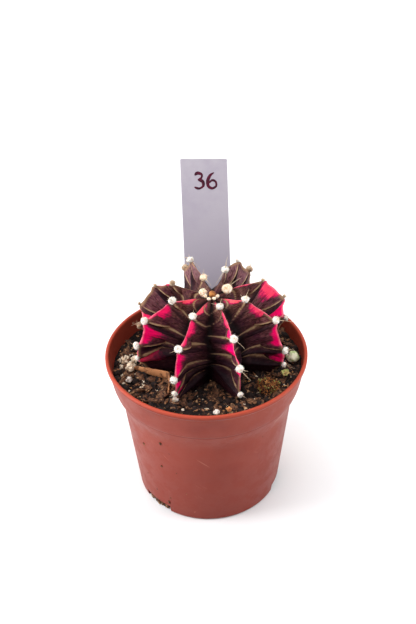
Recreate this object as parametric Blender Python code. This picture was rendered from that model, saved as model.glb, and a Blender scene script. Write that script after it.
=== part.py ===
"""Potted moon cactus: a small ribbed chin cactus in a 55 mm nursery pot with a stick label.

Metres, +Z up. The origin is the centre of the pot's base, and the front of the plant faces -Y.
Azimuths are in degrees round +Z, 0 towards -Y and growing towards +X.
"""

import math
import random

import bmesh
import bpy
from mathutils import Matrix, Vector

MM = 0.001
GAP = 0.3 * MM

# Pot: a collar that narrows a little, a short cone under it, and a straight tapered body.
POT_HEIGHT = 45.3 * MM
RIM_RADIUS = 27.5 * MM
COLLAR_FOOT = (25.8 * MM, POT_HEIGHT - 8.8 * MM)
BODY_TOP = (23.75 * MM, POT_HEIGHT - 13.4 * MM)
BASE_RADIUS = 20.5 * MM
BASE_EDGE = 0.8 * MM
WALL = 0.9 * MM
POT_FLOOR = 1.2 * MM
POT_SEGMENTS = 72
SLOT_AZIMUTHS = (-46.0, 74.0, 194.0)
SLOT_WIDTH = 9.5 * MM
SLOT_HEIGHT = 2.6 * MM
SLOT_DEPTH = 3.2 * MM

# Soil: its level below the rim round the stem, its rise to the wall, towards +X and towards -Y.
SOIL_BELOW_RIM = 5.7 * MM
SOIL_BANK = 1.9 * MM
SOIL_RISE_X = 0.030
SOIL_FALL_Y = 0.035
SOIL_BUMP = 0.25 * MM
SOIL_SEGMENTS = 48

# Cactus: a depressed globe with a sunken crown, standing a little off centre and leaning forward.
STEM_PLACE = Vector((1.9 * MM, 1.9 * MM, POT_HEIGHT + 2.7 * MM))
STEM_LEAN = math.radians(8.0)
CREST_RADIUS = 20.3 * MM
CREST_TOP = 17.2 * MM
CREST_BOTTOM = 10.5 * MM
CREST_POWER = 0.7
CROWN_DEPTH = 2.9 * MM
CROWN_RADIUS = 7.0 * MM
GROOVE_RADIUS = 11.0 * MM
GROOVE_POWER = 0.75
GROOVE_FALL = 1.5
TUBERCLE_RISE = 0.03
TUBERCLE_SPREAD = 6.0
FLANK_STEPS = 3
LAST_ANGLE = 170
ANGLE_STEP = 5
ROOT = ((4.2, -13.0), (3.2, -18.0), (1.8, -23.0))
ROOT_TIP = -25.5 * MM

# Ribs, from the front left one round to the right: azimuth, reach as a share of the crest radius,
# and the polar angle of each areole on the crest.
RIBS = {
    "front_left": (-28.0, 1.02, (4, 22, 54, 83, 92, 101)),
    "front_right": (18.0, 1.00, (3, 10, 43, 71, 91)),
    "right": (66.0, 0.965, (3, 19, 53, 86, 98)),
    "back_right": (110.0, 1.015, (6, 34, 72, 91)),
    "back": (156.0, 1.00, (17, 45, 68, 92)),
    "back_left": (201.0, 1.00, (10, 42, 70, 93)),
    "left_rear": (252.0, 1.00, (3, 23, 41, 75, 94)),
    "left": (288.5, 1.00, (4, 23, 55, 83, 91)),
}
# One rib bends round towards its neighbour below the shoulder: its drift in degrees, and where that starts.
RIB_DRIFT = {"back": -9.5}
DRIFT_FROM = 40.0
DRIFT_OVER = 35.0
AREOLE_RADIUS = 1.15 * MM
CROWN_AREOLE_RADIUS = 0.75 * MM
OLD_AREOLE_RADIUS = 0.95 * MM
CROWN_ANGLE = 5
OLD_ANGLE = 85
AREOLE_FLATNESS = 0.8
SPINE_LENGTH = (2.6 * MM, 4.6 * MM)
SPINE_FOOT = 0.62
REMNANT_RADIUS = 1.1 * MM

# Plant label: a flat stick label, pointed at its foot, leaning back on the rim.
LABEL_WIDTH = 13.4 * MM
LABEL_LENGTH = 80.0 * MM
LABEL_THICKNESS = 0.5 * MM
LABEL_POINT = 11.0 * MM
LABEL_CORNER = 0.4 * MM
LABEL_TOP = Vector((0.35 * MM, 39.9 * MM, POT_HEIGHT + 37.2 * MM))
LABEL_LEAN_BACK = math.radians(23.0)
LABEL_LEAN_LEFT = math.radians(2.7)
LABEL_YAW = math.radians(-4.0)

# Loose pieces on the soil: name, azimuth, distance from the axis, half width and half height in mm.
STONES = (
    ("pumice_left_1", -92.5, 22.8, 1.2, 1.0),
    ("pumice_left_2", -84.5, 20.9, 1.5, 1.2),
    ("pumice_left_3", -96.5, 20.2, 1.1, 0.9),
    ("pebble_left", -71.5, 22.0, 1.0, 0.9),
    ("pebble_pale_round", 86.0, 23.5, 1.7, 1.6),
    ("chip_green", 69.5, 22.3, 1.3, 0.9),
    ("pebble_front_white", 6.0, 22.8, 1.0, 0.8),
    ("pebble_front_orange", 14.5, 22.0, 0.9, 0.8),
)
TUFT_AZIMUTH = 51.5
TUFT_DISTANCE = 20.3 * MM
TUFT_SIZE = (2.7, 3.2, 1.4)

# Bark strip: it bends round the foot of the left rib and into the valley beside it.
BARK_AZIMUTHS = (-84.0, -38.0)
BARK_MIDDLE = -57.0
BARK_HALF_SWEEP = 24.0
BARK_NEAR = 12.0 * MM
BARK_REACH = 6.2 * MM
BARK_CURL = 1.6
BARK_HEIGHT = 1.8 * MM
BARK_THICKNESS = 0.7 * MM


def material(name, color, roughness):
    shade = bpy.data.materials.new(name)
    shade.use_nodes = True
    principled = shade.node_tree.nodes["Principled BSDF"]
    principled.inputs["Base Color"].default_value = (*color, 1.0)
    principled.inputs["Roughness"].default_value = roughness
    principled.inputs["Metallic"].default_value = 0.0
    return shade


def finish_object(name, mesh, shade, parent=None):
    """A bmesh made an object, smooth but for its sharp edges."""
    data = bpy.data.meshes.new(name)
    mesh.to_mesh(data)
    mesh.free()
    data.materials.append(shade)
    data.shade_smooth()
    data.set_sharp_from_angle(angle=math.radians(35))
    obj = bpy.data.objects.new(name, data)
    bpy.context.collection.objects.link(obj)
    obj.parent = parent
    return obj


def ring_solid(rings, segments):
    """A closed surface through rings of points; a ring of one point is a pole."""
    mesh = bmesh.new()
    rows = [[mesh.verts.new(point) for point in ring] for ring in rings]
    for above, below in zip(rows, rows[1:]):
        for i in range(segments):
            j = (i + 1) % segments
            if len(above) == 1:
                mesh.faces.new((above[0], below[i], below[j]))
            elif len(below) == 1:
                mesh.faces.new((above[i], below[0], above[j]))
            else:
                mesh.faces.new((above[i], below[i], below[j], above[j]))
    bmesh.ops.recalc_face_normals(mesh, faces=mesh.faces)
    return mesh


def toward(azimuth, radius, z=0.0):
    """The point at an azimuth in degrees, a distance from the axis and a height."""
    turn = math.radians(azimuth)
    return Vector((radius * math.sin(turn), -radius * math.cos(turn), z))


def cut(obj, cutter):
    """Takes the cutter away from obj with an exact Boolean."""
    cutter.hide_render = True
    cutter.display_type = "WIRE"
    boolean = obj.modifiers.new("cut_" + cutter.name, "BOOLEAN")
    boolean.operation = "DIFFERENCE"
    boolean.solver = "EXACT"
    boolean.object = cutter


# ---- Pot ----

def pot_radius(z):
    """The pot's outer radius at a height."""
    outline = ((BASE_RADIUS, 0.0), (BODY_TOP[0], BODY_TOP[1]), COLLAR_FOOT, (RIM_RADIUS, POT_HEIGHT))
    for (low_radius, low_z), (high_radius, high_z) in zip(outline, outline[1:]):
        if z <= high_z:
            return low_radius + (high_radius - low_radius) * (z - low_z) / (high_z - low_z)
    return RIM_RADIUS


def make_pot(shade):
    bend = 0.5 * MM
    outer = [(0.0, 0.0), (BASE_RADIUS - BASE_EDGE, 0.0), (BASE_RADIUS, BASE_EDGE), BODY_TOP, COLLAR_FOOT]
    outer += [(RIM_RADIUS, POT_HEIGHT - bend), (RIM_RADIUS - 0.35 * bend, POT_HEIGHT)]
    inner = [(RIM_RADIUS - WALL, POT_HEIGHT)]
    inner += [(radius - WALL, z) for radius, z in (COLLAR_FOOT, BODY_TOP)]
    inner += [(pot_radius(POT_FLOOR) - WALL, POT_FLOOR), (0.0, POT_FLOOR)]
    mesh = bmesh.new()
    points = [mesh.verts.new((radius, 0.0, z)) for radius, z in outer + inner]
    edges = [mesh.edges.new(pair) for pair in zip(points, points[1:])]
    bmesh.ops.spin(mesh, geom=points + edges, cent=(0, 0, 0), axis=(0, 0, 1),
                   angle=math.tau, steps=POT_SEGMENTS, use_merge=True)
    bmesh.ops.remove_doubles(mesh, verts=mesh.verts, dist=0.01 * MM)
    bmesh.ops.recalc_face_normals(mesh, faces=mesh.faces)
    pot = finish_object("pot", mesh, shade)
    for number, azimuth in enumerate(SLOT_AZIMUTHS, 1):
        cutter = bmesh.new()
        bmesh.ops.create_cube(cutter, size=1.0)
        depth = 2 * SLOT_DEPTH
        bmesh.ops.scale(cutter, verts=cutter.verts, vec=(SLOT_WIDTH, depth, 2 * SLOT_HEIGHT))
        slot = finish_object(f"drain_slot_{number}", cutter, shade)
        slot.location = toward(azimuth, BASE_RADIUS)
        slot.rotation_euler.z = math.radians(azimuth)
        cut(pot, slot)
    return pot


# ---- Cactus ----

def crest(angle):
    """Radius and height of an ideal crest line at a polar angle in degrees, in the stem's frame."""
    turn = math.radians(angle)
    radius = CREST_RADIUS * math.sin(turn) ** CREST_POWER
    rise = abs(math.cos(turn)) ** CREST_POWER
    if angle > 90:
        return radius, -CREST_BOTTOM * rise
    return radius, CREST_TOP * rise - CROWN_DEPTH * math.exp(-(radius / CROWN_RADIUS) ** 2)


def groove(angle):
    """Radius and height of the valley between two ribs."""
    turn = math.radians(angle)
    radius = GROOVE_RADIUS * math.sin(turn) ** GROOVE_POWER
    if angle > 90:
        return radius, -CREST_BOTTOM * abs(math.cos(turn)) ** CREST_POWER
    return radius, (CREST_TOP - CROWN_DEPTH) * math.cos(turn) ** GROOVE_FALL


def crest_azimuth(rib, angle):
    """The azimuth of a rib's crest at a polar angle."""
    share = min(1.0, max(0.0, (angle - DRIFT_FROM) / DRIFT_OVER))
    return RIBS[rib][0] + RIB_DRIFT.get(rib, 0.0) * share


def crest_point(rib, angle):
    """A point of one rib's crest, lifted a little at each areole."""
    _, reach, areoles = RIBS[rib]
    azimuth = crest_azimuth(rib, angle)
    radius, z = crest(angle)
    lift = max(math.exp(-(((angle - at) / TUBERCLE_SPREAD) ** 2)) for at in areoles)
    return toward(azimuth, radius * reach, z) * (1 + TUBERCLE_RISE * lift)


def stem_rings():
    names = list(RIBS)
    angles = [ANGLE_STEP * k for k in range(1, int(LAST_ANGLE / ANGLE_STEP) + 1)]
    rings = [[Vector((0, 0, CREST_TOP - CROWN_DEPTH))]]
    for angle in angles:
        ring = []
        for here, after in zip(names, names[1:] + names[:1]):
            start = RIBS[here][0]
            valley = start + ((RIBS[after][0] - start) % 360) / 2
            low = toward(valley, *groove(angle))
            first = crest_point(here, angle)
            last = crest_point(after, angle)
            ring += [first.lerp(low, k / FLANK_STEPS) for k in range(FLANK_STEPS)]
            ring += [low.lerp(last, k / FLANK_STEPS) for k in range(FLANK_STEPS)]
        rings.append(ring)
    count = len(rings[-1])
    first_azimuth = RIBS[names[0]][0]
    for radius, z in ROOT:
        step = 360 / count
        rings.append([toward(first_azimuth + step * k, radius * MM, z * MM) for k in range(count)])
    rings.append([Vector((0, 0, ROOT_TIP))])
    return rings, count


def make_stem(shade, frame):
    rings, count = stem_rings()
    return finish_object("cactus_stem", ring_solid(rings, count), shade, frame)


def make_stem_room(shade, frame):
    """The room the soil leaves for the stem: its surface moved out by the gap."""
    rings, count = stem_rings()
    mesh = ring_solid(rings, count)
    mesh.normal_update()
    moved = [vert.co + vert.normal * GAP * min(vert.calc_shell_factor(), 3.0) for vert in mesh.verts]
    for vert, place in zip(mesh.verts, moved):
        vert.co = place
    return finish_object("stem_room", mesh, shade, frame)


def crest_frame(rib, angle):
    """The point, outward direction and downward direction on a crest."""
    before, here, after = (crest_point(rib, angle + step) for step in (-1.0, 0.0, 1.0))
    along = (after - before).normalized()
    side = toward(crest_azimuth(rib, angle) + 90, 1.0)
    out = along.cross(side).normalized()
    if out.dot(here - Vector((0, 0, -CREST_BOTTOM))) < 0:
        out.negate()
    return here, out, along


def woolly_ball(radius, flatness, spines, rng):
    """A flattened ball of wool along +Z with thin spines drawn out of its faces."""
    mesh = bmesh.new()
    bmesh.ops.create_icosphere(mesh, subdivisions=2, radius=radius)
    for direction in spines:
        face = max(mesh.faces, key=lambda f: f.normal.dot(direction) if len(f.verts) == 3 else -1)
        bmesh.ops.inset_individual(mesh, faces=[face], thickness=SPINE_FOOT * radius * 0.25)
        tip = bmesh.ops.poke(mesh, faces=[face])["verts"][0]
        tip.co += direction * rng.uniform(*SPINE_LENGTH)
    bmesh.ops.scale(mesh, verts=mesh.verts, vec=(1, 1, flatness))
    return mesh


def make_areoles(shade, frame):
    rng = random.Random(11)
    for rib, (_, _, angles) in RIBS.items():
        for number, angle in enumerate(angles, 1):
            place, out, along = crest_frame(rib, angle)
            side = along.cross(out)
            radius = AREOLE_RADIUS
            if angle < CROWN_ANGLE:
                radius = CROWN_AREOLE_RADIUS
            elif angle > OLD_ANGLE:
                radius = OLD_AREOLE_RADIUS
            spines = []
            if CROWN_ANGLE < angle < 100:
                swing = rng.choice((-1, 1)) * rng.uniform(0.5, 0.9)
                spines.append(Vector((swing, rng.uniform(-0.3, 0.3), 0.8)).normalized())
            mesh = woolly_ball(radius, AREOLE_FLATNESS, spines, rng)
            centre = place + out * (GAP + radius * AREOLE_FLATNESS)
            turn = Matrix((side, along, out)).transposed().to_4x4()
            mesh.transform(Matrix.Translation(centre) @ turn)
            finish_object(f"areole_{rib}_{number}", mesh, shade, frame)


def make_flower_remnant(shade, frame):
    mesh = bmesh.new()
    bmesh.ops.create_icosphere(mesh, subdivisions=2, radius=REMNANT_RADIUS)
    top = CREST_TOP - CROWN_DEPTH + GAP + REMNANT_RADIUS
    bmesh.ops.translate(mesh, verts=mesh.verts, vec=(0, 0, top))
    finish_object("flower_remnant", mesh, shade, frame)


# ---- Soil and what lies on it ----

def soil_height(x, y):
    """The height of the soil's surface over a point of the base plane."""
    bumps = math.sin(310 * x + 1.0) * math.cos(270 * y) + 0.5 * math.sin(520 * (x + y))
    bank = SOIL_BANK * (math.hypot(x, y) / RIM_RADIUS) ** 4
    slope = SOIL_RISE_X * x - SOIL_FALL_Y * y
    return POT_HEIGHT - SOIL_BELOW_RIM + bank + slope + SOIL_BUMP * bumps


def make_soil(shade, cutters):
    def ring(radius, height):
        points = [toward(360 / SOIL_SEGMENTS * k, radius) for k in range(SOIL_SEGMENTS)]
        return [Vector((p.x, p.y, height(p.x, p.y))) for p in points]

    def wall_ring(z):
        return ring(pot_radius(z) - WALL - GAP, lambda x, y: z)

    low = POT_FLOOR + GAP
    surface = POT_HEIGHT - SOIL_BELOW_RIM
    edge = pot_radius(surface - 2 * MM) - WALL - GAP
    rings = [[Vector((0, 0, low))], wall_ring(low), wall_ring(BODY_TOP[1]), wall_ring(COLLAR_FOOT[1])]
    rings += [ring(edge * share, soil_height) for share in (1.0, 0.93, 0.82, 0.66, 0.45, 0.2)]
    rings.append([Vector((0, 0, soil_height(0, 0)))])
    soil = finish_object("soil", ring_solid(rings, SOIL_SEGMENTS), shade)
    for cutter in cutters:
        cut(soil, cutter)


def make_stone(name, azimuth, distance, half_width, half_height, shade, rng):
    """A small uneven stone lying on the soil."""
    mesh = bmesh.new()
    bmesh.ops.create_icosphere(mesh, subdivisions=2, radius=1.0)
    for vert in mesh.verts:
        vert.co *= rng.uniform(0.86, 1.0)
    stretch = rng.uniform(0.8, 1.0)
    bmesh.ops.scale(mesh, verts=mesh.verts, vec=(half_width * MM, half_width * stretch * MM, half_height * MM))
    stone = finish_object(name, mesh, shade)
    stone.location = toward(azimuth, distance * MM)
    stone.location.z = soil_height(*stone.location.xy) + half_height * MM + 2 * GAP
    stone.rotation_euler.z = rng.uniform(0, math.tau)


def make_fibre_tuft(shade):
    mesh = bmesh.new()
    bmesh.ops.create_icosphere(mesh, subdivisions=2, radius=MM)
    bmesh.ops.scale(mesh, verts=mesh.verts, vec=TUFT_SIZE)
    tuft = finish_object("fibre_tuft", mesh, shade)
    tuft.location = toward(TUFT_AZIMUTH, TUFT_DISTANCE)
    tuft.location.z = soil_height(*tuft.location.xy) + TUFT_SIZE[2] * MM + 2 * GAP
    tuft.rotation_euler.z = math.radians(TUFT_AZIMUTH)


def make_bark_strip(shade):
    """A curled strip of bark standing on its edge along the foot of the left ribs."""
    steps = 12
    rings = []
    for k in range(steps + 1):
        share = k / steps
        azimuth = BARK_AZIMUTHS[0] + (BARK_AZIMUTHS[1] - BARK_AZIMUTHS[0]) * share
        away = abs((azimuth - BARK_MIDDLE) / BARK_HALF_SWEEP) ** BARK_CURL
        distance = BARK_NEAR + BARK_REACH * away
        foot = soil_height(*toward(azimuth, distance).xy) + 2.5 * GAP
        tall = BARK_HEIGHT * (0.55 + 0.45 * math.sin(math.pi * share))
        outer = toward(azimuth, distance + BARK_THICKNESS / 2)
        inner = toward(azimuth, distance - BARK_THICKNESS / 2)
        heights = ((outer, foot), (outer, foot + tall), (inner, foot + tall), (inner, foot))
        rings.append([Vector((p.x, p.y, z)) for p, z in heights])
    mesh = ring_solid(rings, 4)
    ends = [edge for edge in mesh.edges if edge.is_boundary]
    bmesh.ops.holes_fill(mesh, edges=ends, sides=4)
    bmesh.ops.recalc_face_normals(mesh, faces=mesh.faces)
    finish_object("bark_strip", mesh, shade)


# ---- Label ----

def label_mesh(width, thickness):
    """The label's outline, extruded: its top edge's middle is the origin and it hangs down -Z."""
    half = width / 2
    corner = LABEL_CORNER
    outline = [(half, -corner), (half - 0.3 * corner, -0.3 * corner), (half - corner, 0.0)]
    outline += [(-x, z) for x, z in reversed(outline)]
    outline += [(-half, -LABEL_LENGTH + LABEL_POINT), (-0.1 * half, -LABEL_LENGTH)]
    outline += [(0.1 * half, -LABEL_LENGTH), (half, -LABEL_LENGTH + LABEL_POINT)]
    mesh = bmesh.new()
    face = mesh.faces.new([mesh.verts.new((x, -thickness / 2, z)) for x, z in outline])
    raised = bmesh.ops.extrude_face_region(mesh, geom=[face])["geom"]
    verts = [item for item in raised if isinstance(item, bmesh.types.BMVert)]
    bmesh.ops.translate(mesh, verts=verts, vec=(0, thickness, 0))
    bmesh.ops.recalc_face_normals(mesh, faces=mesh.faces)
    return mesh


def make_label(name, shade, width, thickness):
    label = finish_object(name, label_mesh(width, thickness), shade)
    label.location = LABEL_TOP
    label.rotation_euler = (-LABEL_LEAN_BACK, -LABEL_LEAN_LEFT, LABEL_YAW)
    return label


def main():
    for obj in list(bpy.data.objects):
        bpy.data.objects.remove(obj, do_unlink=True)

    terracotta = material("terracotta_plastic", (0.42, 0.09, 0.06), 0.45)
    peat = material("peat", (0.03, 0.02, 0.015), 0.95)
    flesh = material("cactus_skin", (0.10, 0.04, 0.05), 0.5)
    wool = material("areole_wool", (0.85, 0.80, 0.70), 0.95)
    dried = material("dried_flower", (0.35, 0.17, 0.05), 0.8)
    card = material("label_plastic", (0.55, 0.53, 0.57), 0.5)
    pumice = material("pumice", (0.65, 0.55, 0.42), 0.9)
    bark = material("bark", (0.30, 0.19, 0.10), 0.85)
    fibre = material("coir_fibre", (0.25, 0.13, 0.05), 0.9)

    frame = bpy.data.objects.new("stem_frame", None)
    bpy.context.collection.objects.link(frame)
    frame.location = STEM_PLACE
    frame.rotation_euler.x = STEM_LEAN

    make_pot(terracotta)
    make_stem(flesh, frame)
    make_areoles(wool, frame)
    make_flower_remnant(dried, frame)
    make_label("plant_label", card, LABEL_WIDTH, LABEL_THICKNESS)
    stem_room = make_stem_room(flesh, frame)
    label_room = make_label("label_room", card, LABEL_WIDTH + 3 * GAP, LABEL_THICKNESS + 3 * GAP)
    make_soil(peat, (stem_room, label_room))
    rng = random.Random(5)
    for name, azimuth, distance, half_width, half_height in STONES:
        make_stone(name, azimuth, distance, half_width, half_height, pumice, rng)
    make_fibre_tuft(fibre)
    make_bark_strip(bark)


main()
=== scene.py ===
# %% [markdown]
# # A small chin cactus in its nursery pot
# The plant is a low green-brown globe with eight sharp ribs, pink where it has lost its green. It stands
# in peat and grit in a thin plastic pot, with a stick label behind it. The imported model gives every
# place and size. This script only grows the fine surface over it: skin folds, wool, spines and grains.

# %% Load the frame
import functools
import math
import random

import bmesh
import bpy
from mathutils import Euler, Matrix, Vector, noise
from mathutils.bvhtree import BVHTree


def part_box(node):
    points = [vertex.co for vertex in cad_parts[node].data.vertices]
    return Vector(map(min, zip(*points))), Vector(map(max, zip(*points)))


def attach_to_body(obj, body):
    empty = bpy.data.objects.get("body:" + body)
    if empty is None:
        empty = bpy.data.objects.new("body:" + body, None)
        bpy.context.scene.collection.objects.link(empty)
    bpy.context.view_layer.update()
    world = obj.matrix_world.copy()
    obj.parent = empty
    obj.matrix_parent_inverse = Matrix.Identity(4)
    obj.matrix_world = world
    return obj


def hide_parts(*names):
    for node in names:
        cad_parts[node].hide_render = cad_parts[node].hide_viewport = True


MM = 0.001
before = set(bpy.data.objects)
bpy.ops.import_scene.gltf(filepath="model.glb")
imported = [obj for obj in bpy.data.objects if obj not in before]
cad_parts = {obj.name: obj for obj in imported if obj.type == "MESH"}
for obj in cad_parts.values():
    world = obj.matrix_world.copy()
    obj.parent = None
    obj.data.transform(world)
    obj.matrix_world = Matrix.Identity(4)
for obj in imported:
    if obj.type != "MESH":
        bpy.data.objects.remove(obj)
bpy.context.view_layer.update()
pot_low, pot_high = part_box("pot")
print("pot", [round(side / MM, 1) for side in pot_high - pot_low], "mm")

# %% [markdown]
# ## Camera
# The plant is seen from a little above, at the height where both the rim and the crown show as
# ellipses. A 51 mm lens from 23 cm gives the same strong taper of the pot. The small roll is a hand-held
# tilt, so the label leans a touch to the left of upright.

# %% Camera
CAMERA_ELEVATION = math.radians(35.56)
CAMERA_ROLL = math.radians(-1.25)
CAMERA_DISTANCE = 0.2330
AIM_HEIGHT = 0.0577
LENS = 50.91

aim = Vector((0.0007, 0.0, AIM_HEIGHT))
back = Vector((0.0, -math.cos(CAMERA_ELEVATION), math.sin(CAMERA_ELEVATION)))
camera = bpy.data.objects.new("camera", bpy.data.cameras.new("camera"))
bpy.context.collection.objects.link(camera)
camera.data.lens = LENS
camera.data.clip_start = 0.01
pitch = Matrix.Rotation(math.pi / 2 - CAMERA_ELEVATION, 4, "X")
roll = Matrix.Rotation(CAMERA_ROLL, 4, "Z")
camera.matrix_world = Matrix.Translation(aim + back * CAMERA_DISTANCE) @ pitch @ roll
bpy.context.scene.camera = camera
print("camera at", [round(c / MM, 1) for c in camera.location], "mm")

# %% [markdown]
# ## Floor and light
# The plant stands on a seamless white table in very soft light. A sun lamp would draw hard shadows, so a
# bright ceiling the size of a room does most of the work, and the ledges on the ribs throw soft shadows
# below them. Two upright lamps at the sides put the pale sheen on both flanks of the pot. The floor is
# nearly white, so that only a faint shadow grounds the pot.

# %% Floor, sky and lamps
def srgb(red, green, blue):
    """A colour given as it looks on a screen, 0 to 255, as linear light."""
    def linear(value):
        value = value / 255
        return value / 12.92 if value <= 0.04045 else ((value + 0.055) / 1.055) ** 2.4
    return (linear(red), linear(green), linear(blue), 1.0)


def lamp(name, place, size, power, gloss, target=aim):
    """A soft rectangular lamp; gloss is how much of it shows in reflections."""
    data = bpy.data.lights.new(name, "AREA")
    data.specular_factor = gloss
    data.shape = "RECTANGLE"
    data.size, data.size_y = size
    data.energy = power
    obj = bpy.data.objects.new(name, data)
    bpy.context.collection.objects.link(obj)
    obj.location = place
    obj.rotation_euler = (Vector(place) - target).to_track_quat("Z", "Y").to_euler()
    print(name, power, "W")


WHITE = (1.0, 1.0, 1.0, 1.0)
SKY_STRENGTH = 0.50
CEILING_AIM = Vector((-0.05, 0.25, 0.0))
world = bpy.data.worlds.new("sky")
bpy.context.scene.world = world
world.use_nodes = True
world.node_tree.nodes["Background"].inputs["Color"].default_value = WHITE
world.node_tree.nodes["Background"].inputs["Strength"].default_value = SKY_STRENGTH
lamp("ceiling_lamp", (-0.45, 0.30, 1.20), (2.8, 3.0), 42.0, 0.7, CEILING_AIM)
lamp("left_lamp", (-0.42, -0.06, 0.22), (0.20, 0.45), 2.2, 0.2)
lamp("right_lamp", (0.42, -0.04, 0.20), (0.20, 0.45), 1.5, 0.2)
bpy.context.scene.view_settings.view_transform = "Standard"

FLOOR_HALF = 1.5
floor_data = bpy.data.meshes.new("floor")
corners = [(-FLOOR_HALF, -FLOOR_HALF, 0), (FLOOR_HALF, -FLOOR_HALF, 0)]
corners += [(FLOOR_HALF, FLOOR_HALF, 0), (-FLOOR_HALF, FLOOR_HALF, 0)]
floor_data.from_pydata(corners, [], [(0, 1, 2, 3)])
floor = bpy.data.objects.new("floor", floor_data)
bpy.context.collection.objects.link(floor)

# %% [markdown]
# ## Small helpers
# Each piece ends as one mesh whose object stays at the origin, so these helpers take finished points
# and faces and make the object from them. Operators such as adding a primitive would do it too, but
# they depend on what is selected. A ring surface is what most turned or grown shapes here are.

# %% Mesh helpers
def add_object(name, data, material=None):
    """A smooth object at the origin for a mesh."""
    data.shade_smooth()
    obj = bpy.data.objects.new(name, data)
    bpy.context.collection.objects.link(obj)
    if material:
        data.materials.append(material)
    return obj


def add_piece(name, points, faces, material=None):
    """An object from points in metres."""
    data = bpy.data.meshes.new(name)
    data.from_pydata([tuple(point) for point in points], [], faces)
    data.update()
    return add_object(name, data, material)


def add_bmesh(name, mesh, material=None):
    """The same from a bmesh, which is used up."""
    data = bpy.data.meshes.new(name)
    mesh.to_mesh(data)
    mesh.free()
    return add_object(name, data, material)


print("each piece starts as an object in", bpy.context.collection.name)


# %% Rings, normals and curves
def ring_faces(rows, columns, first_pole, last_pole):
    """Faces between rings of points listed in order, with a pole before the first or after the last."""
    start = 1 if first_pole else 0
    faces = []
    for row in range(rows - 1):
        here = start + row * columns
        below = here + columns
        for i in range(columns):
            j = (i + 1) % columns
            faces.append((here + i, below + i, below + j, here + j))
    if first_pole:
        faces += [(0, start + i, start + (i + 1) % columns) for i in range(columns)]
    if last_pole:
        last = start + rows * columns
        ring = last - columns
        faces += [(last, ring + (i + 1) % columns, ring + i) for i in range(columns)]
    return faces


def toward(azimuth, radius, z=0.0):
    """The point at an azimuth in degrees from -Y towards +X, a distance from the axis and a height."""
    turn = math.radians(azimuth)
    return Vector((radius * math.sin(turn), -radius * math.cos(turn), z))


MERGE_REACH = 0.002 * MM


def facing_out(mesh, merge=True):
    """The bmesh with its doubles merged, where wanted, and its faces turned outwards."""
    if merge:
        bmesh.ops.remove_doubles(mesh, verts=mesh.verts, dist=MERGE_REACH)
    bmesh.ops.recalc_face_normals(mesh, faces=mesh.faces)
    return mesh


def turn_out(obj, merge=False):
    """The same for an object's mesh."""
    mesh = bmesh.new()
    mesh.from_mesh(obj.data)
    facing_out(mesh, merge).to_mesh(obj.data)
    mesh.free()


def ramp(value, start, width):
    """0 up to a start, 1 from a width past it on, and a straight slope between them."""
    return min(1.0, max(0.0, (value - start) / width))


def bell(gap, width):
    """1 at no gap, and falling away on both sides over about the width."""
    return math.exp(-((gap / width) ** 2))


print("bell at a gap of one width:", round(bell(1.0, 1.0), 2))


# %% Fasten a piece to the frame
def attach(obj, slot, *nodes):
    """The piece rides with the root body and hides the plain nodes it stands for; its slot is not used."""
    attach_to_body(obj, "root")
    if nodes:
        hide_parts(*nodes)
    print(obj.name, len(obj.data.polygons), "faces")


# %% [markdown]
# ## Patterns that many finishes share
# Dirt, grain and mottling turn up on every part of a potted plant, only at other sizes and strengths.
# So each is a small shader group with named inputs, built once and placed in each material.

# %% Shader groups
def new_group(name, inputs, outputs):
    """An empty shader group with number inputs and their defaults, and number outputs."""
    group = bpy.data.node_groups.new(name, "ShaderNodeTree")
    for label, value in inputs.items():
        socket = group.interface.new_socket(label, in_out="INPUT", socket_type="NodeSocketFloat")
        socket.default_value = value
    for label in outputs:
        group.interface.new_socket(label, in_out="OUTPUT", socket_type="NodeSocketFloat")
    return group, group.nodes.new("NodeGroupInput"), group.nodes.new("NodeGroupOutput")


def feed(tree, socket, value):
    """Links another socket to a socket, or sets a plain value on it."""
    if isinstance(value, bpy.types.NodeSocket):
        tree.links.new(value, socket)
    else:
        socket.default_value = value


def math_node(tree, operation, first, second):
    """A sum, product or the like of two numbers or sockets."""
    node = tree.nodes.new("ShaderNodeMath")
    node.operation = operation
    feed(tree, node.inputs[0], first)
    feed(tree, node.inputs[1], second)
    return node.outputs[0]


def object_place(tree):
    """Object coordinates, which stay with a piece wherever it is seen from."""
    return tree.nodes.new("ShaderNodeTexCoord").outputs["Object"]


def noise_node(tree, scale, detail=4.0, rough=0.55, place=None):
    """Noise over Object coordinates, or over another place; scale may be a number or a socket."""
    node = tree.nodes.new("ShaderNodeTexNoise")
    feed(tree, node.inputs["Vector"], place or object_place(tree))
    feed(tree, node.inputs["Detail"], detail)
    feed(tree, node.inputs["Roughness"], rough)
    feed(tree, node.inputs["Scale"], scale)
    return node.outputs["Fac"]


def range_node(tree, value, low, high, to_low=0.0, to_high=1.0):
    """A value eased from one range into another, and held at its ends."""
    node = tree.nodes.new("ShaderNodeMapRange")
    node.interpolation_type = "SMOOTHSTEP"
    for label, item in (("Value", value), ("From Min", low), ("From Max", high),
                        ("To Min", to_low), ("To Max", to_high)):
        feed(tree, node.inputs[label], item)
    return node.outputs["Result"]


print("shader groups before these:", len(bpy.data.node_groups))


# %% Mottle, grain and scratches
def build_mottle():
    """Soft blotches broken up by a finer noise: 0 to 1."""
    group, source, sink = new_group("mottle", {"Scale": 300.0, "Low": 0.4, "High": 0.6}, ["Mask"])
    broad = noise_node(group, source.outputs["Scale"], 3.0)
    fine = noise_node(group, math_node(group, "MULTIPLY", source.outputs["Scale"], 5.0), 3.0)
    both = math_node(group, "ADD", math_node(group, "MULTIPLY", broad, 0.7),
                     math_node(group, "MULTIPLY", fine, 0.3))
    mask = range_node(group, both, source.outputs["Low"], source.outputs["High"])
    group.links.new(mask, sink.inputs["Mask"])
    return group


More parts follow.
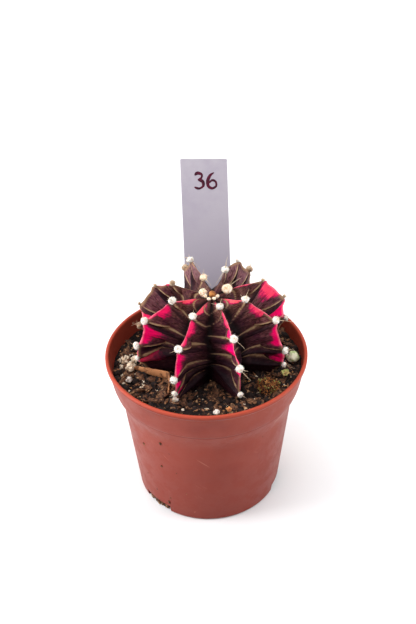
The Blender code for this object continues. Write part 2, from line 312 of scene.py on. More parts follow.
def build_grain():
    """A height for bump: fine noise with rounded cells in it."""
    group, source, sink = new_group("grain", {"Scale": 2000.0, "Cells": 0.5}, ["Height"])
    cells = group.nodes.new("ShaderNodeTexVoronoi")
    group.links.new(object_place(group), cells.inputs["Vector"])
    group.links.new(source.outputs["Scale"], cells.inputs["Scale"])
    fine = noise_node(group, source.outputs["Scale"], 5.0, 0.6)
    pits = math_node(group, "MULTIPLY", cells.outputs["Distance"], source.outputs["Cells"])
    group.links.new(math_node(group, "ADD", fine, pits), sink.inputs["Height"])
    return group


def build_scratches():
    """Fine slanting scratches: noise stretched along one direction, only its peaks kept."""
    group, source, sink = new_group("scratches", {"Scale": 150.0, "Low": 0.70, "High": 0.80}, ["Mask"])
    slant = group.nodes.new("ShaderNodeMapping")
    slant.vector_type = "TEXTURE"
    slant.inputs["Rotation"].default_value = (0.3, math.radians(38), 0.4)
    slant.inputs["Scale"].default_value = (2.0, 1.0, 0.08)
    group.links.new(object_place(group), slant.inputs["Vector"])
    lines = noise_node(group, source.outputs["Scale"], 2.0, 0.5, slant.outputs["Vector"])
    mask = range_node(group, lines, source.outputs["Low"], source.outputs["High"])
    group.links.new(mask, sink.inputs["Mask"])
    return group


MOTTLE = build_mottle()
GRAIN = build_grain()
SCRATCHES = build_scratches()
print("shader groups:", MOTTLE.name, GRAIN.name, SCRATCHES.name)

# %% [markdown]
# A material here is a Principled shader whose colour is a stack of mixes. `Finish` keeps the stack: each
# `layer` call mixes one more colour over the rest by a mask, which reads like coats of paint in code.

# %% The finish helper
class Finish:
    """A Principled material with a growing stack of colour layers."""

    def __init__(self, name, base, roughness, specular=0.5):
        self.material = bpy.data.materials.new(name)
        self.material.use_nodes = True
        self.tree = self.material.node_tree
        self.shader = self.tree.nodes["Principled BSDF"]
        self.shader.inputs["Roughness"].default_value = roughness
        self.shader.inputs["Specular IOR Level"].default_value = specular
        start = self.tree.nodes.new("ShaderNodeRGB")
        start.outputs[0].default_value = base
        self.color = start.outputs[0]

    def group(self, group, output, **values):
        """One output of a shared group, with its inputs set by name."""
        node = self.tree.nodes.new("ShaderNodeGroup")
        node.node_tree = group
        for label, value in values.items():
            node.inputs[label].default_value = value
        return node.outputs[output]

    def attribute(self, name):
        """A number stored on the mesh."""
        node = self.tree.nodes.new("ShaderNodeAttribute")
        node.attribute_name = name
        return node.outputs["Fac"]

    def object_axis(self, axis):
        """One Object coordinate, in metres."""
        split = self.tree.nodes.new("ShaderNodeSeparateXYZ")
        self.tree.links.new(object_place(self.tree), split.inputs[0])
        return split.outputs[axis]

    def blend(self, first, second, mask):
        """A colour between two others."""
        mix = self.tree.nodes.new("ShaderNodeMix")
        mix.data_type = "RGBA"
        for entry, value in (("Factor", mask), (6, first), (7, second)):
            feed(self.tree, mix.inputs[entry], value)
        return mix.outputs[2]

    def layer(self, color, mask):
        """One more colour over the rest, where the mask says."""
        self.color = self.blend(self.color, color, mask)
        return self

    def blotches(self, color, scale, low, high):
        """One more colour in mottled patches."""
        return self.layer(color, self.group(MOTTLE, "Mask", Scale=scale, Low=low, High=high))

    def rough(self, mask, low, high):
        """Roughness between two values, by a mask."""
        between = range_node(self.tree, mask, 0.0, 1.0, low, high)
        self.tree.links.new(between, self.shader.inputs["Roughness"])
        return self

    def bump(self, height, distance, strength):
        """A height added to the bumps before it."""
        node = self.tree.nodes.new("ShaderNodeBump")
        node.inputs["Strength"].default_value = strength
        node.inputs["Distance"].default_value = distance
        self.tree.links.new(height, node.inputs["Height"])
        before = self.shader.inputs["Normal"]
        if before.is_linked:
            self.tree.links.new(before.links[0].from_socket, node.inputs["Normal"])
        self.tree.links.new(node.outputs["Normal"], before)
        return self

    def grain(self, scale, cells, distance, strength):
        """The shared grain as a bump."""
        return self.bump(self.group(GRAIN, "Height", Scale=scale, Cells=cells), distance, strength)

    def done(self):
        """The material, with the stack of colours joined to its shader."""
        self.tree.links.new(self.color, self.shader.inputs["Base Color"])
        return self.material


print("finishes so far:", len(bpy.data.materials))

# %% Floor finish
floor_finish = Finish("white_table", (0.78, 0.78, 0.78, 1.0), 0.7, 0.2)
floor_finish.layer((0.75, 0.75, 0.76, 1.0), floor_finish.group(MOTTLE, "Mask", Scale=8.0))
floor_data.materials.append(floor_finish.done())
print("floor finish:", floor_data.materials[0].name)

# %% [markdown]
# ## The pot
# A nursery pot is injection moulded in a thin, slightly waxy plastic. It could be a thickened cone, but
# its look comes from the soft bends of its profile: the rim's lip, the collar that sits outside the next
# pot in a stack, and the small radius at the base. So the whole section, outside and inside, is drawn as
# one outline whose corners are eased into curves, and it is turned round the axis.

# %% Turn the pot
POT_HEIGHT = pot_high.z
RIM_RADIUS = pot_high.x
WALL = 0.9 * MM
POT_FLOOR = 1.2 * MM
BASE_RADIUS = RIM_RADIUS - 7.0 * MM
COLLAR_FOOT = (RIM_RADIUS - 1.7 * MM, POT_HEIGHT - 8.8 * MM)
BODY_TOP = (RIM_RADIUS - 3.75 * MM, POT_HEIGHT - 13.4 * MM)
BASE_DISH = 0.5 * MM
BASE_RING = (3.6 * MM, 4.2 * MM)
LIP_FOOT = POT_HEIGHT - 1.6 * MM
LIP_SWELL = POT_HEIGHT - 1.1 * MM
LIP_STEP = 0.12 * MM
# How far from each inner corner of the section its bend begins, in mm, in the section's own order.
POT_BENDS = (0.2, 0.2, 0.9, 2.3, 2.0, 0.25, 0.2, 0.42, 0.42, 2.0, 2.3, 0.8)
BEND_STEPS = 5
POT_STEPS = 160


def eased(outline, bends):
    """The outline with each inner corner drawn as a curve that starts and ends its bend away."""
    points = [Vector(outline[0])]
    for before, corner, after, bend in zip(outline, outline[1:], outline[2:], bends):
        before, corner, after = Vector(before), Vector(corner), Vector(after)
        start = corner + (before - corner).normalized() * bend
        end = corner + (after - corner).normalized() * bend
        for k in range(BEND_STEPS + 1):
            share = k / BEND_STEPS
            points.append(start.lerp(corner, share).lerp(corner.lerp(end, share), share))
    points.append(Vector(outline[-1]))
    return points


def pot_radius(z):
    """The pot's outer radius at a height."""
    outline = ((BASE_RADIUS, 0.0), BODY_TOP, COLLAR_FOOT, (RIM_RADIUS, POT_HEIGHT))
    for (low_radius, low_z), (high_radius, high_z) in zip(outline, outline[1:]):
        if z <= high_z:
            return low_radius + (high_radius - low_radius) * (z - low_z) / (high_z - low_z)
    return RIM_RADIUS


def pot_section():
    """From the middle of the base up the outside, over the lip and down to the floor inside."""
    outline = [(0.0, BASE_DISH), (BASE_RADIUS - BASE_RING[1], BASE_DISH), (BASE_RADIUS - BASE_RING[0], 0.0)]
    outline += [(BASE_RADIUS, 0.0), BODY_TOP, COLLAR_FOOT]
    outline += [(pot_radius(LIP_FOOT) - LIP_STEP, LIP_FOOT), (RIM_RADIUS, LIP_SWELL)]
    outline += [(RIM_RADIUS, POT_HEIGHT), (RIM_RADIUS - WALL, POT_HEIGHT)]
    outline += [(COLLAR_FOOT[0] - WALL, COLLAR_FOOT[1]), (BODY_TOP[0] - WALL, BODY_TOP[1])]
    outline += [(pot_radius(POT_FLOOR) - WALL, POT_FLOOR), (0.0, POT_FLOOR)]
    return eased(outline, [bend * MM for bend in POT_BENDS])


def turned(section, steps):
    """A section spun once round the axis."""
    mesh = bmesh.new()
    points = [mesh.verts.new((point.x, 0.0, point.y)) for point in section]
    edges = [mesh.edges.new(pair) for pair in zip(points, points[1:])]
    bmesh.ops.spin(mesh, geom=points + edges, cent=(0, 0, 0), axis=(0, 0, 1),
                   angle=math.tau, steps=steps, use_merge=True)
    return facing_out(mesh)


pot = add_bmesh("nursery_pot", turned(pot_section(), POT_STEPS))
print("pot section turned into", len(pot.data.polygons), "faces")

# %% [markdown]
# Three drain slots are cut where the wall meets the base, so that water gets out and air gets in. In the
# mould they are small cores, so their edges are crisp. An exact Boolean does the same here.

# %% Cut the drain slots
SLOT_AZIMUTHS = (-46.0, 74.0, 194.0)
SLOT_SIZE = (9.5 * MM, 6.4 * MM, 5.2 * MM)
POT_SHARP_EDGE = math.radians(40)


def made_plain(obj):
    """The evaluated object as a plain mesh, with its modifiers gone."""
    graph = bpy.context.evaluated_depsgraph_get()
    data = bpy.data.meshes.new_from_object(obj.evaluated_get(graph))
    obj.modifiers.clear()
    obj.data = data
    return obj


cutters = []
for azimuth in SLOT_AZIMUTHS:
    mesh = bmesh.new()
    bmesh.ops.create_cube(mesh, size=1.0)
    turn = Matrix.Rotation(math.radians(azimuth), 4, "Z") @ Matrix.Diagonal((*SLOT_SIZE, 1.0))
    mesh.transform(Matrix.Translation(toward(azimuth, BASE_RADIUS)) @ turn)
    cutters.append(add_bmesh("drain_core", mesh))
    cut = pot.modifiers.new("drain", "BOOLEAN")
    cut.operation = "DIFFERENCE"
    cut.solver = "EXACT"
    cut.object = cutters[-1]
made_plain(pot)
for cutter in cutters:
    bpy.data.objects.remove(cutter)
pot.data.shade_smooth()
pot.data.set_sharp_from_angle(angle=POT_SHARP_EDGE)
print("pot with its slots:", len(pot.data.polygons), "faces")

# %% [markdown]
# The plastic is a dull brick red with fine moulding grain. It carries a little pale dust and chalk from
# watering, thin handling scratches and small dark flecks of soil. The wall is painted lighter towards the
# rim and darker towards the foot, as painted light and shade. The lip is painted a touch lighter and more
# orange, as painted light that the thin plastic lets through there, and a thin dark line runs under the
# collar.
# All of it is layered in the material by height and noise, since none of it is deep enough to model.

# %% Pot plastic
LIP_GLOW = (POT_HEIGHT - 0.9 * MM, POT_HEIGHT - 0.2 * MM)
COLLAR_LINE = [COLLAR_FOOT[1] + step * MM for step in (-0.5, -0.2, 0.0, 0.15)]

plastic = Finish("brick_plastic", srgb(124, 46, 32), 0.42, 0.18)
height = plastic.object_axis("Z")
# Painted light and shade: the wall is lighter towards the rim and darker towards the foot.
plastic.layer(srgb(134, 53, 38), range_node(plastic.tree, height, 0.0, POT_HEIGHT))
plastic.blotches(srgb(121, 44, 31), 40.0, 0.38, 0.70)
# Painted light: the lip is lighter and more orange, as if light came through the thin plastic there.
plastic.layer(srgb(160, 62, 42), range_node(plastic.tree, height, *LIP_GLOW))
# A thin darker line, with a shallow groove in the bump, just under the collar's foot.
line_foot = range_node(plastic.tree, height, COLLAR_LINE[0], COLLAR_LINE[1])
line_top = range_node(plastic.tree, height, COLLAR_LINE[3], COLLAR_LINE[2])
collar_line = math_node(plastic.tree, "MULTIPLY", line_top, line_foot)
plastic.layer(srgb(104, 36, 26), math_node(plastic.tree, "MULTIPLY", collar_line, 0.55))
scratched = math_node(plastic.tree, "MULTIPLY", plastic.group(SCRATCHES, "Mask"), 0.45)
plastic.layer(srgb(186, 116, 100), scratched)
plastic.blotches(srgb(168, 92, 76), 420.0, 0.66, 0.80)
plastic.blotches(srgb(70, 30, 24), 900.0, 0.675, 0.71)
plastic.rough(plastic.group(MOTTLE, "Mask", Scale=240.0, Low=0.35, High=0.65), 0.38, 0.50)
plastic.grain(1800.0, 0.2, 0.02 * MM, 0.35)
plastic.bump(math_node(plastic.tree, "MULTIPLY", collar_line, -1.0), 0.06 * MM, 0.6)
plastic.shader.inputs["Subsurface Weight"].default_value = 0.06
plastic.shader.inputs["Subsurface Radius"].default_value = (1.0, 0.25, 0.15)
plastic.shader.inputs["Subsurface Scale"].default_value = 0.8 * MM
pot.data.materials.clear()
pot.data.materials.append(plastic.done())
attach(pot, "pot_plastic", "pot")

# %% [markdown]
# ## The cactus body
# The body is a low globe of eight ribs round a sunken crown. It could be sculpted, but its form follows a
# rule. A crest line runs from the crown over the shoulder to the soil, a groove runs between each two
# crests, and the flank between them is nearly straight. The same two curves built the plain stem, so the
# fine skin lies on it. `crest` and `groove` give radius and height at a polar angle in degrees.

# %% Crest and groove curves
STEM_PLACE = Vector((1.9 * MM, 1.9 * MM, POT_HEIGHT + 2.7 * MM))
STEM_LEAN = math.radians(8.0)
STEM_TURN = Matrix.Translation(STEM_PLACE) @ Matrix.Rotation(STEM_LEAN, 4, "X")
CREST_RADIUS = 20.3 * MM
CREST_TOP = 17.2 * MM
CREST_BOTTOM = 10.5 * MM
CREST_POWER = 0.7
CROWN_DEPTH = 2.9 * MM
CROWN_RADIUS = 7.0 * MM
GROOVE_RADIUS = 11.0 * MM
GROOVE_POWER = 0.75
GROOVE_FALL = 1.5

# Azimuth, reach, and the polar angle of each areole down the crest.
RIBS = {
    "front_left": (-28.0, 1.02, (4, 22, 54, 83, 92, 101)),
    "front_right": (18.0, 1.00, (3, 10, 43, 71, 91)),
    "right": (66.0, 0.965, (3, 19, 53, 86, 98)),
    "back_right": (110.0, 1.015, (6, 34, 72, 91)),
    "back": (156.0, 1.00, (17, 45, 68, 92)),
    "back_left": (201.0, 1.00, (10, 42, 70, 93)),
    "left_rear": (252.0, 1.00, (3, 23, 41, 75, 94)),
    "left": (288.5, 1.00, (4, 23, 55, 83, 91)),
}
RIB_NAMES = list(RIBS)
print("areoles:", sum(len(angles) for _, _, angles in RIBS.values()))


def crest(angle):
    """Radius and height of the plain crest, with the crown's dip above and a flat base below."""
    turn = math.radians(angle)
    radius = CREST_RADIUS * math.sin(turn) ** CREST_POWER
    rise = abs(math.cos(turn)) ** CREST_POWER
    if angle > 90:
        return radius, -CREST_BOTTOM * rise
    return radius, CREST_TOP * rise - CROWN_DEPTH * bell(radius, CROWN_RADIUS)


def groove(angle):
    """Radius and height of the groove."""
    turn = math.radians(angle)
    radius = GROOVE_RADIUS * math.sin(turn) ** GROOVE_POWER
    if angle > 90:
        return radius, -CREST_BOTTOM * abs(math.cos(turn)) ** CREST_POWER
    return radius, (CREST_TOP - CROWN_DEPTH) * math.cos(turn) ** GROOVE_FALL


# %% [markdown]
# Each crest is scalloped: it stands proud at every areole and has a small chin under it, which gives chin
# cacti their name. The lift is a bell curve round each areole with a second, smaller one just below.

# %% Scalloped crest lines
TUBERCLE_RISE = 0.03
TUBERCLE_SPREAD = 6.0
BACK_RIB_DRIFT = -9.5
DRIFT_START, DRIFT_WIDTH = 40, 35
CHIN_RISE = 0.55 * MM
CHIN_BELOW = 5.0
CHIN_SPREAD = 4.0
CREST_SWING = 1.1


def crest_azimuth(rib, angle):
    """The back rib bends round to its neighbour below the shoulder, and the others run straight."""
    drift = BACK_RIB_DRIFT if rib == "back" else 0.0
    return RIBS[rib][0] + drift * ramp(angle, DRIFT_START, DRIFT_WIDTH)


def crest_point(rib, angle):
    """The plain crest, which stands proud at each areole."""
    _, reach, areoles = RIBS[rib]
    azimuth = crest_azimuth(rib, angle)
    radius, z = crest(angle)
    lift = max(bell(angle - at, TUBERCLE_SPREAD) for at in areoles)
    return toward(azimuth, radius * reach, z) * (1 + TUBERCLE_RISE * lift)


@functools.cache
def skin_crest(rib, angle):
    """The crest of the fine skin: the plain one with chins and a slight sideways swing."""
    azimuth, _, areoles = RIBS[rib]
    point = crest_point(rib, angle)
    chin = max(bell(angle - at - CHIN_BELOW, CHIN_SPREAD) for at in areoles)
    point *= 1 + CHIN_RISE * chin * ramp(angle, 8, 25) / max(point.length, MM)
    swing = CREST_SWING * math.sin(0.11 * angle + azimuth) * ramp(angle, 0, 40)
    return Matrix.Rotation(math.radians(swing), 3, "Z") @ point


def crest_frame(rib, angle):
    """The point, outward direction and downward direction on a crest, in the stem's frame."""
    before, here, after = (crest_point(rib, angle + step) for step in (-1.0, 0.0, 1.0))
    along = (after - before).normalized()
    side = toward(crest_azimuth(rib, angle) + 90, 1.0)
    out = along.cross(side).normalized()
    if out.dot(here - Vector((0, 0, -CREST_BOTTOM))) < 0:
        out.negate()
    return here, out, along


print("the back rib's crest at the shoulder:", [round(c / MM, 1) for c in skin_crest("back", 60.0)], "mm")

# %% [markdown]
# From every areole a pale cross band runs down each flank to the groove. The flank swells towards the
# band and drops away below it, so the bands read as a row of soft ledges. Bands that start high on the
# shoulder sweep down before they reach the groove, and low ones climb. A painted stripe would look flat,
# so each band is both a form and a colour: `band_angle` gives its path, and `ledge` its profile.

# %% Cross bands
BAND_SWEEP = 30.0
BAND_REACH = 25.0
BAND_RISE = 9.0
LEDGE_ABOVE = 8.5
LEDGE_BELOW = 2.4
CREASE_BELOW = 4.3
CREASE_WIDTH = 2.6
BAND_HALF_WIDTH = 2.6


def band_angle(start, share):
    """The polar angle of a band at a share of the way from crest to groove."""
    fall = BAND_SWEEP * bell(start, BAND_REACH) * (1 - math.exp(-start / 4))
    rise = BAND_RISE * ramp(start, 55, 25)
    return start + (fall - rise) * share ** 1.1


def ledge(gap):
    """How far the flank swells, 0 to 1, at an angle above (negative) or below (positive) a band."""
    return bell(gap, LEDGE_ABOVE if gap < 0 else LEDGE_BELOW)


# Pink skin, where a rib has lost its green: the side it lies on, from and to which polar angle, how
# much of the flank it covers, and how hot it is, 0 for salmon and 1 for hot pink.
PINK = {
    "front_left": ((-1, 3, 22, 0.80, 0.3), (1, 3, 20, 0.55, 0.2), (-1, 25, 52, 0.22, 0.7),
                   (1, 24, 50, 0.37, 0.8), (-1, 57, 84, 0.30, 1.0), (1, 58, 80, 0.26, 1.0),
                   (-1, 87, 90, 0.2, 1.0), (1, 86, 97, 0.28, 1.0)),
    "front_right": ((-1, 3, 9, 0.55, 0.1), (1, 4, 9, 0.35, 0.1), (-1, 14, 43, 0.27, 0.4),
                    (1, 12, 34, 0.26, 0.3), (1, 33, 44, 0.20, 0.9), (-1, 46, 70, 0.52, 1.0),
                    (1, 46, 66, 0.08, 0.9), (-1, 75, 90, 0.24, 0.9), (1, 73, 82, 0.14, 0.9)),
    "right": ((-1, 4, 18, 0.62, 0.0), (1, 4, 17, 0.25, 0.2), (-1, 24, 51, 0.30, 0.5),
              (1, 24, 44, 0.10, 0.6), (-1, 57, 83, 0.20, 1.0), (1, 58, 82, 0.4, 1.0),
              (-1, 88, 97, 0.40, 1.0), (1, 88, 96, 0.3, 1.0)),
    "back_right": ((-1, 9, 29, 0.10, 0.3), (-1, 37, 66, 0.42, 0.5), (1, 36, 66, 0.3, 0.8),
                   (-1, 75, 90, 0.35, 1.0), (1, 74, 90, 0.4, 1.0)),
    "back": (),
    "back_left": (),
    "left_rear": ((1, 25, 38, 0.10, 0.4), (1, 33, 40, 0.28, 0.9), (-1, 78, 92, 0.3, 0.8)),
    "left": ((1, 5, 22, 0.50, 0.2), (-1, 6, 21, 0.14, 0.3), (1, 28, 54, 0.36, 0.9),
             (-1, 30, 52, 0.10, 0.8), (1, 58, 81, 0.52, 1.0), (-1, 58, 80, 0.3, 1.0),
             (1, 86, 97, 0.60, 0.6)),
}
CREST_SHARE = 0.03


def pink_at(rib, side, share, angle):
    """How far inside a pink patch a point lies, 0 to 1, and how hot that patch is."""
    best, best_hot = 0.0, 0.0
    for patch_side, first, last, width, hot in PINK[rib]:
        if patch_side != side and share > CREST_SHARE:
            continue
        middle, half = (first + last) / 2, (last - first) / 2
        along = 1 - abs(angle - middle) / half
        # A patch is widest a little below its middle and narrows to its ends.
        reach = width * (1 - abs((angle - middle) / (half * 1.15)) ** 2.5)
        across = 1 - share / max(reach, 0.01)
        inside = max(-0.5, min(along * 1.8, across * 0.9)) + 0.5
        if inside > best:
            best, best_hot = min(inside, 1.0), hot
    return best, best_hot


print("pink patches:", sum(len(patches) for patches in PINK.values()))

# %% [markdown]
# The skin is one closed mesh. Rings run from the crown down to the root, and every rib gets the same
# number of points on each flank, closer together at the crest, where the form is sharp. Each point also
# stores what the finish needs to know: band, fold, which the finish paints as shade, how pink and how hot
# it is, and its place on the flank.

# %% Build the skin
ANGLE_STEP = 0.75
LAST_ANGLE = 170.0
FLANK_POINTS = 13
PUFF = 0.55 * MM
LEDGE_HEIGHT = 1.85 * MM
CREASE_DEPTH = 0.85 * MM
GROOVE_SWAY = 3.2
PLEAT = 0.5
PLEAT_WIDTH = 1.7
WIDE_FLANKS = {("back", -1): 2.6, ("back_left", 1): 1.6, ("back", 1): 1.6}
ROOT_RINGS = ((4.2, -13.0), (3.2, -18.0), (1.8, -23.0))
ROOT_TIP = -25.5 * MM
# What each point stores, with its value in the middle of the crown.
CROWN_FACTS = {"band": 0.0, "fold_and_shade": 0.0, "pink": 0.6, "hotness": 0.2,
               "share": 0.0, "angle": 0.0, "rib": 0.0}
# The waves of the skin: how many to a metre, roughly, and their height.
SKIN_WAVES = ((320, 0.22 * MM), (900, 0.05 * MM))
CREST_CROWDING = 1.35


def flank_shares():
    """Places from crest to groove, crowded towards the crest."""
    return [(k / FLANK_POINTS) ** CREST_CROWDING for k in range(FLANK_POINTS)]


def band_and_folds(areoles, share, angle):
    """How far the flank swells, how much of a band it is and how deep in a fold, each 0 to 1; the fold's
    depth also sets its painted shade.
    """
    swell, line, fold_and_shade = 0.0, 0.0, 0.0
    for at in areoles:
        gap = angle - band_angle(at, share)
        thick = 0.55 + 0.45 * ramp(at, 0, 60)
        swell = max(swell, ledge(gap) * thick)
        low_down = 1 - 0.4 * ramp(at, 72, 15)
        bulge = 0.45 + 0.75 * math.sin(math.pi * min(share * 1.1, 1.0)) * thick
        line = max(line, bell(gap + 0.4, BAND_HALF_WIDTH * low_down * bulge))
        fold_and_shade = max(fold_and_shade, thick * bell(gap - CREASE_BELOW, CREASE_WIDTH))
    for at, below in zip(areoles, areoles[1:]):
        # A shallow pleat halfway between two bands, where they stand far enough apart.
        room = ramp(below - at, 12, 15)
        gap = angle - band_angle((at + below) / 2, share)
        fold_and_shade = max(fold_and_shade, PLEAT * room * bell(gap, PLEAT_WIDTH))
    return swell, line, fold_and_shade


def flank_point(rib, side, share, angle, valley):
    """A skin point and what the finish reads there."""
    top = skin_crest(rib, angle)
    low = toward(valley, *groove(angle))
    point = top.lerp(low, share)
    swell, line, fold_and_shade = band_and_folds(RIBS[rib][2], share, angle)
    across = (low - top).normalized()
    down = skin_crest(rib, angle + 0.5) - skin_crest(rib, max(angle - 0.5, 0.0))
    normal = across.cross(down).normalized() * side
    # The swelling fades out at the crest and the groove, at the crown and below the soil.
    shape = math.sin(math.pi * min(1.0, share * 1.02)) ** 0.8
    size = ramp(angle, 0, 35) if angle < 90 else max(0.0, 1 - (angle - 90) / 45)
    wave = sum(noise.noise(point * scale) * rise for scale, rise in SKIN_WAVES)
    puff = PUFF * WIDE_FLANKS.get((rib, side), 1.0)
    push = (puff + LEDGE_HEIGHT * swell - CREASE_DEPTH * fold_and_shade + wave) * size * shape
    return point + normal * push, line * ramp(share, 0, 0.10), fold_and_shade * shape * size


print("points on one flank and ring:", len(flank_shares()))


# %% Join the rings into the skin
def skin_mesh():
    """All rings of the body as points, faces and stored facts."""
    angles = [ANGLE_STEP * (k + 1) for k in range(round(LAST_ANGLE / ANGLE_STEP))]
    points = [Vector((0, 0, CREST_TOP - CROWN_DEPTH))]
    facts = {label: [value] for label, value in CROWN_FACTS.items()}
    pairs = list(zip(RIB_NAMES, RIB_NAMES[1:] + RIB_NAMES[:1]))
    for angle in angles:
        for number, (here, after) in enumerate(pairs):
            start = RIBS[here][0]
            sway = GROOVE_SWAY * math.sin(math.radians(angle * 6.2 + 70 * number)) * ramp(angle, 0, 30)
            valley = start + ((RIBS[after][0] - start) % 360) / 2 + sway
            row = [(here, 1, share) for share in flank_shares()]
            row += [(after, -1, share) for share in [1.0] + flank_shares()[:0:-1]]
            for rib, side, share in row:
                place, line, fold_and_shade = flank_point(rib, side, share, angle, valley)
                inside, hot = pink_at(rib, side, share, angle)
                points.append(place)
                flank = (number + 0.5 * (side < 0)) / len(pairs)
                found = (line, fold_and_shade, inside, hot, share, angle / 100, flank)
                for values, value in zip(facts.values(), found):
                    values.append(value)
    columns = 2 * FLANK_POINTS * len(pairs)
    for radius, z in ROOT_RINGS:
        first = RIBS["front_left"][0]
        points += [toward(first + 360 / columns * k, radius * MM, z * MM) for k in range(columns)]
    points.append(Vector((0, 0, ROOT_TIP)))
    rows = len(angles) + len(ROOT_RINGS)
    for values in facts.values():
        values += [0.0] * (len(points) - len(values))
    faces = ring_faces(rows, columns, True, True)
    return [STEM_TURN @ point for point in points], faces, facts


skin_points, skin_faces, skin_facts = skin_mesh()
skin = add_piece("cactus_skin", skin_points, skin_faces)
for label, values in skin_facts.items():
    layer = skin.data.attributes.new(label, "FLOAT", "POINT")
    layer.data.foreach_set("value", values)
print("skin", len(skin.data.vertices), "points")

# %% [markdown]
# The skin is a dusky purple brown. Its far side is painted more lavender, as painted sheen where the light
# catches its wax, and painted shade makes the lowest part, the folds and the grooves near black. Bands are
# dull tan. Pink patches have ragged edges, so their stored mask is broken with noise before it becomes an
# edge, and each mixes salmon and hot pink, with a pale pink painted highlight along the crest. Fine streaks
# follow the flank from crest to groove, which needs the flank's own place and not Object coordinates.

# %% Streaks that follow the flank
def build_streaks():
    """Fine streaks along the flank: noise over the stored place, stretched from crest to groove."""
    group, source, sink = new_group("flank_streaks", {"Scale": 60.0, "Stretch": 0.15}, ["Mask"])
    parts = []
    for name in ("share", "angle", "rib"):
        node = group.nodes.new("ShaderNodeAttribute")
        node.attribute_name = name
        parts.append(node.outputs["Fac"])
    join = group.nodes.new("ShaderNodeCombineXYZ")
    group.links.new(math_node(group, "MULTIPLY", parts[0], source.outputs["Stretch"]), join.inputs[0])
    group.links.new(parts[1], join.inputs[1])
    group.links.new(math_node(group, "MULTIPLY", parts[2], 40.0), join.inputs[2])
    streak = noise_node(group, source.outputs["Scale"], 5.0, 0.5, join.outputs[0])
    group.links.new(streak, sink.inputs["Mask"])
    return group


STREAKS = build_streaks()
print("shader group:", STREAKS.name)

# %% Cactus skin finish
skin_finish = Finish("variegated_skin", srgb(84, 42, 48), 0.52, 0.08)
tree = skin_finish.tree
share = skin_finish.attribute("share")
streaks = skin_finish.group(STREAKS, "Mask", Scale=70.0, Stretch=0.12)
fine = skin_finish.group(MOTTLE, "Mask", Scale=2200.0, Low=0.35, High=0.65)
descent = skin_finish.attribute("angle")
skin_finish.layer(srgb(106, 70, 52), range_node(tree, descent, 0.60, 0.12, 0.0, 0.75))
skin_finish.layer(srgb(64, 20, 44), range_node(tree, descent, 0.45, 0.85, 0.0, 0.75))
# Painted sheen: the far side of the body is lighter lavender, where the light catches its wax.
far_side_sheen = range_node(tree, skin_finish.object_axis("Y"), 2 * MM, 13 * MM, 0.0, 0.7)
skin_finish.layer(srgb(146, 100, 108), far_side_sheen)
skin_finish.layer(srgb(42, 14, 24), range_node(tree, streaks, 0.44, 0.64, 0.0, 0.9))
skin_finish.layer(srgb(132, 86, 90), range_node(tree, streaks, 0.56, 0.32, 0.0, 0.55))
skin_finish.layer(srgb(108, 72, 60), math_node(tree, "MULTIPLY", fine, 0.3))
blotch = skin_finish.group(MOTTLE, "Mask", Scale=170.0, Low=0.44, High=0.62)
skin_finish.layer(srgb(64, 18, 46), math_node(tree, "MULTIPLY", blotch, 0.6))
# Painted shade: the lowest part of the body, near the soil, is darkened almost to black.
skin_finish.layer(srgb(26, 8, 14), range_node(tree, descent, 0.68, 1.02, 0.0, 0.75))
edge = range_node(tree, share, 0.09, 0.015)
skin_finish.layer(srgb(150, 118, 88), math_node(tree, "MULTIPLY", edge, 0.75))
ragged = math_node(tree, "ADD", skin_finish.attribute("pink"),
                   range_node(tree, streaks, 0.3, 0.7, -0.12, 0.12))
ragged = math_node(tree, "ADD", ragged,
                   range_node(tree, noise_node(tree, 900.0, 5.0, 0.65), 0.3, 0.7, -0.16, 0.16))
hot = skin_finish.blend(srgb(255, 96, 104), srgb(255, 0, 104), skin_finish.attribute("hotness"))
skin_finish.layer(srgb(128, 36, 70), range_node(tree, ragged, 0.26, 0.58, 0.0, 0.8))
skin_finish.layer(srgb(208, 24, 90), range_node(tree, ragged, 0.46, 0.74))
skin_finish.layer(hot, range_node(tree, ragged, 0.66, 0.98))
# Painted highlight: a pale pink line along the crest where a pink patch reaches it.
crest_highlight = math_node(tree, "MULTIPLY", range_node(tree, share, 0.06, 0.01),
                      range_node(tree, ragged, 0.4, 0.8))
skin_finish.layer(srgb(240, 140, 152), math_node(tree, "MULTIPLY", crest_highlight, 0.6))
band = math_node(tree, "ADD", skin_finish.attribute("band"),
                 range_node(tree, streaks, 0.3, 0.7, -0.12, 0.12))
skin_finish.layer(srgb(112, 80, 64), range_node(tree, band, 0.35, 0.7, 0.0, 0.7))
skin_finish.layer(srgb(178, 148, 114), range_node(tree, band, 0.62, 0.98, 0.0, 0.9))
# Painted shade: near black in the fold below each band and in the pleats between bands.
skin_finish.layer(srgb(22, 8, 16), range_node(tree, skin_finish.attribute("fold_and_shade"), 0.10, 0.75, 0.0, 0.88))
# Painted shade: the flank darkens to near black towards the groove, less where a band reaches in.
reach = math_node(tree, "MULTIPLY", skin_finish.attribute("band"), 0.16)
groove_shade = math_node(tree, "SUBTRACT", share, reach)
skin_finish.layer(srgb(12, 4, 7), range_node(tree, groove_shade, 0.48, 0.90, 0.0, 0.55))
skin_finish.layer(srgb(5, 1, 2), range_node(tree, groove_shade, 0.76, 0.96, 0.0, 0.9))
skin_finish.rough(fine, 0.42, 0.60)
skin_finish.bump(streaks, 0.25 * MM, 0.35)
skin_finish.grain(2600.0, 0.6, 0.05 * MM, 0.4)
skin.data.materials.append(skin_finish.done())
attach(skin, "cactus_skin", "cactus_stem")

# %% [markdown]
# ## Scattering by Geometry Nodes
# Wool, peat and grit are one idea: a small grain placed many times over a surface. One node tree does it.
# Its inputs are the grain, how densely it lies, the range of its size, how far it tips over, and a seed.
# It makes only the grains, real ones and not instances, so that they export.

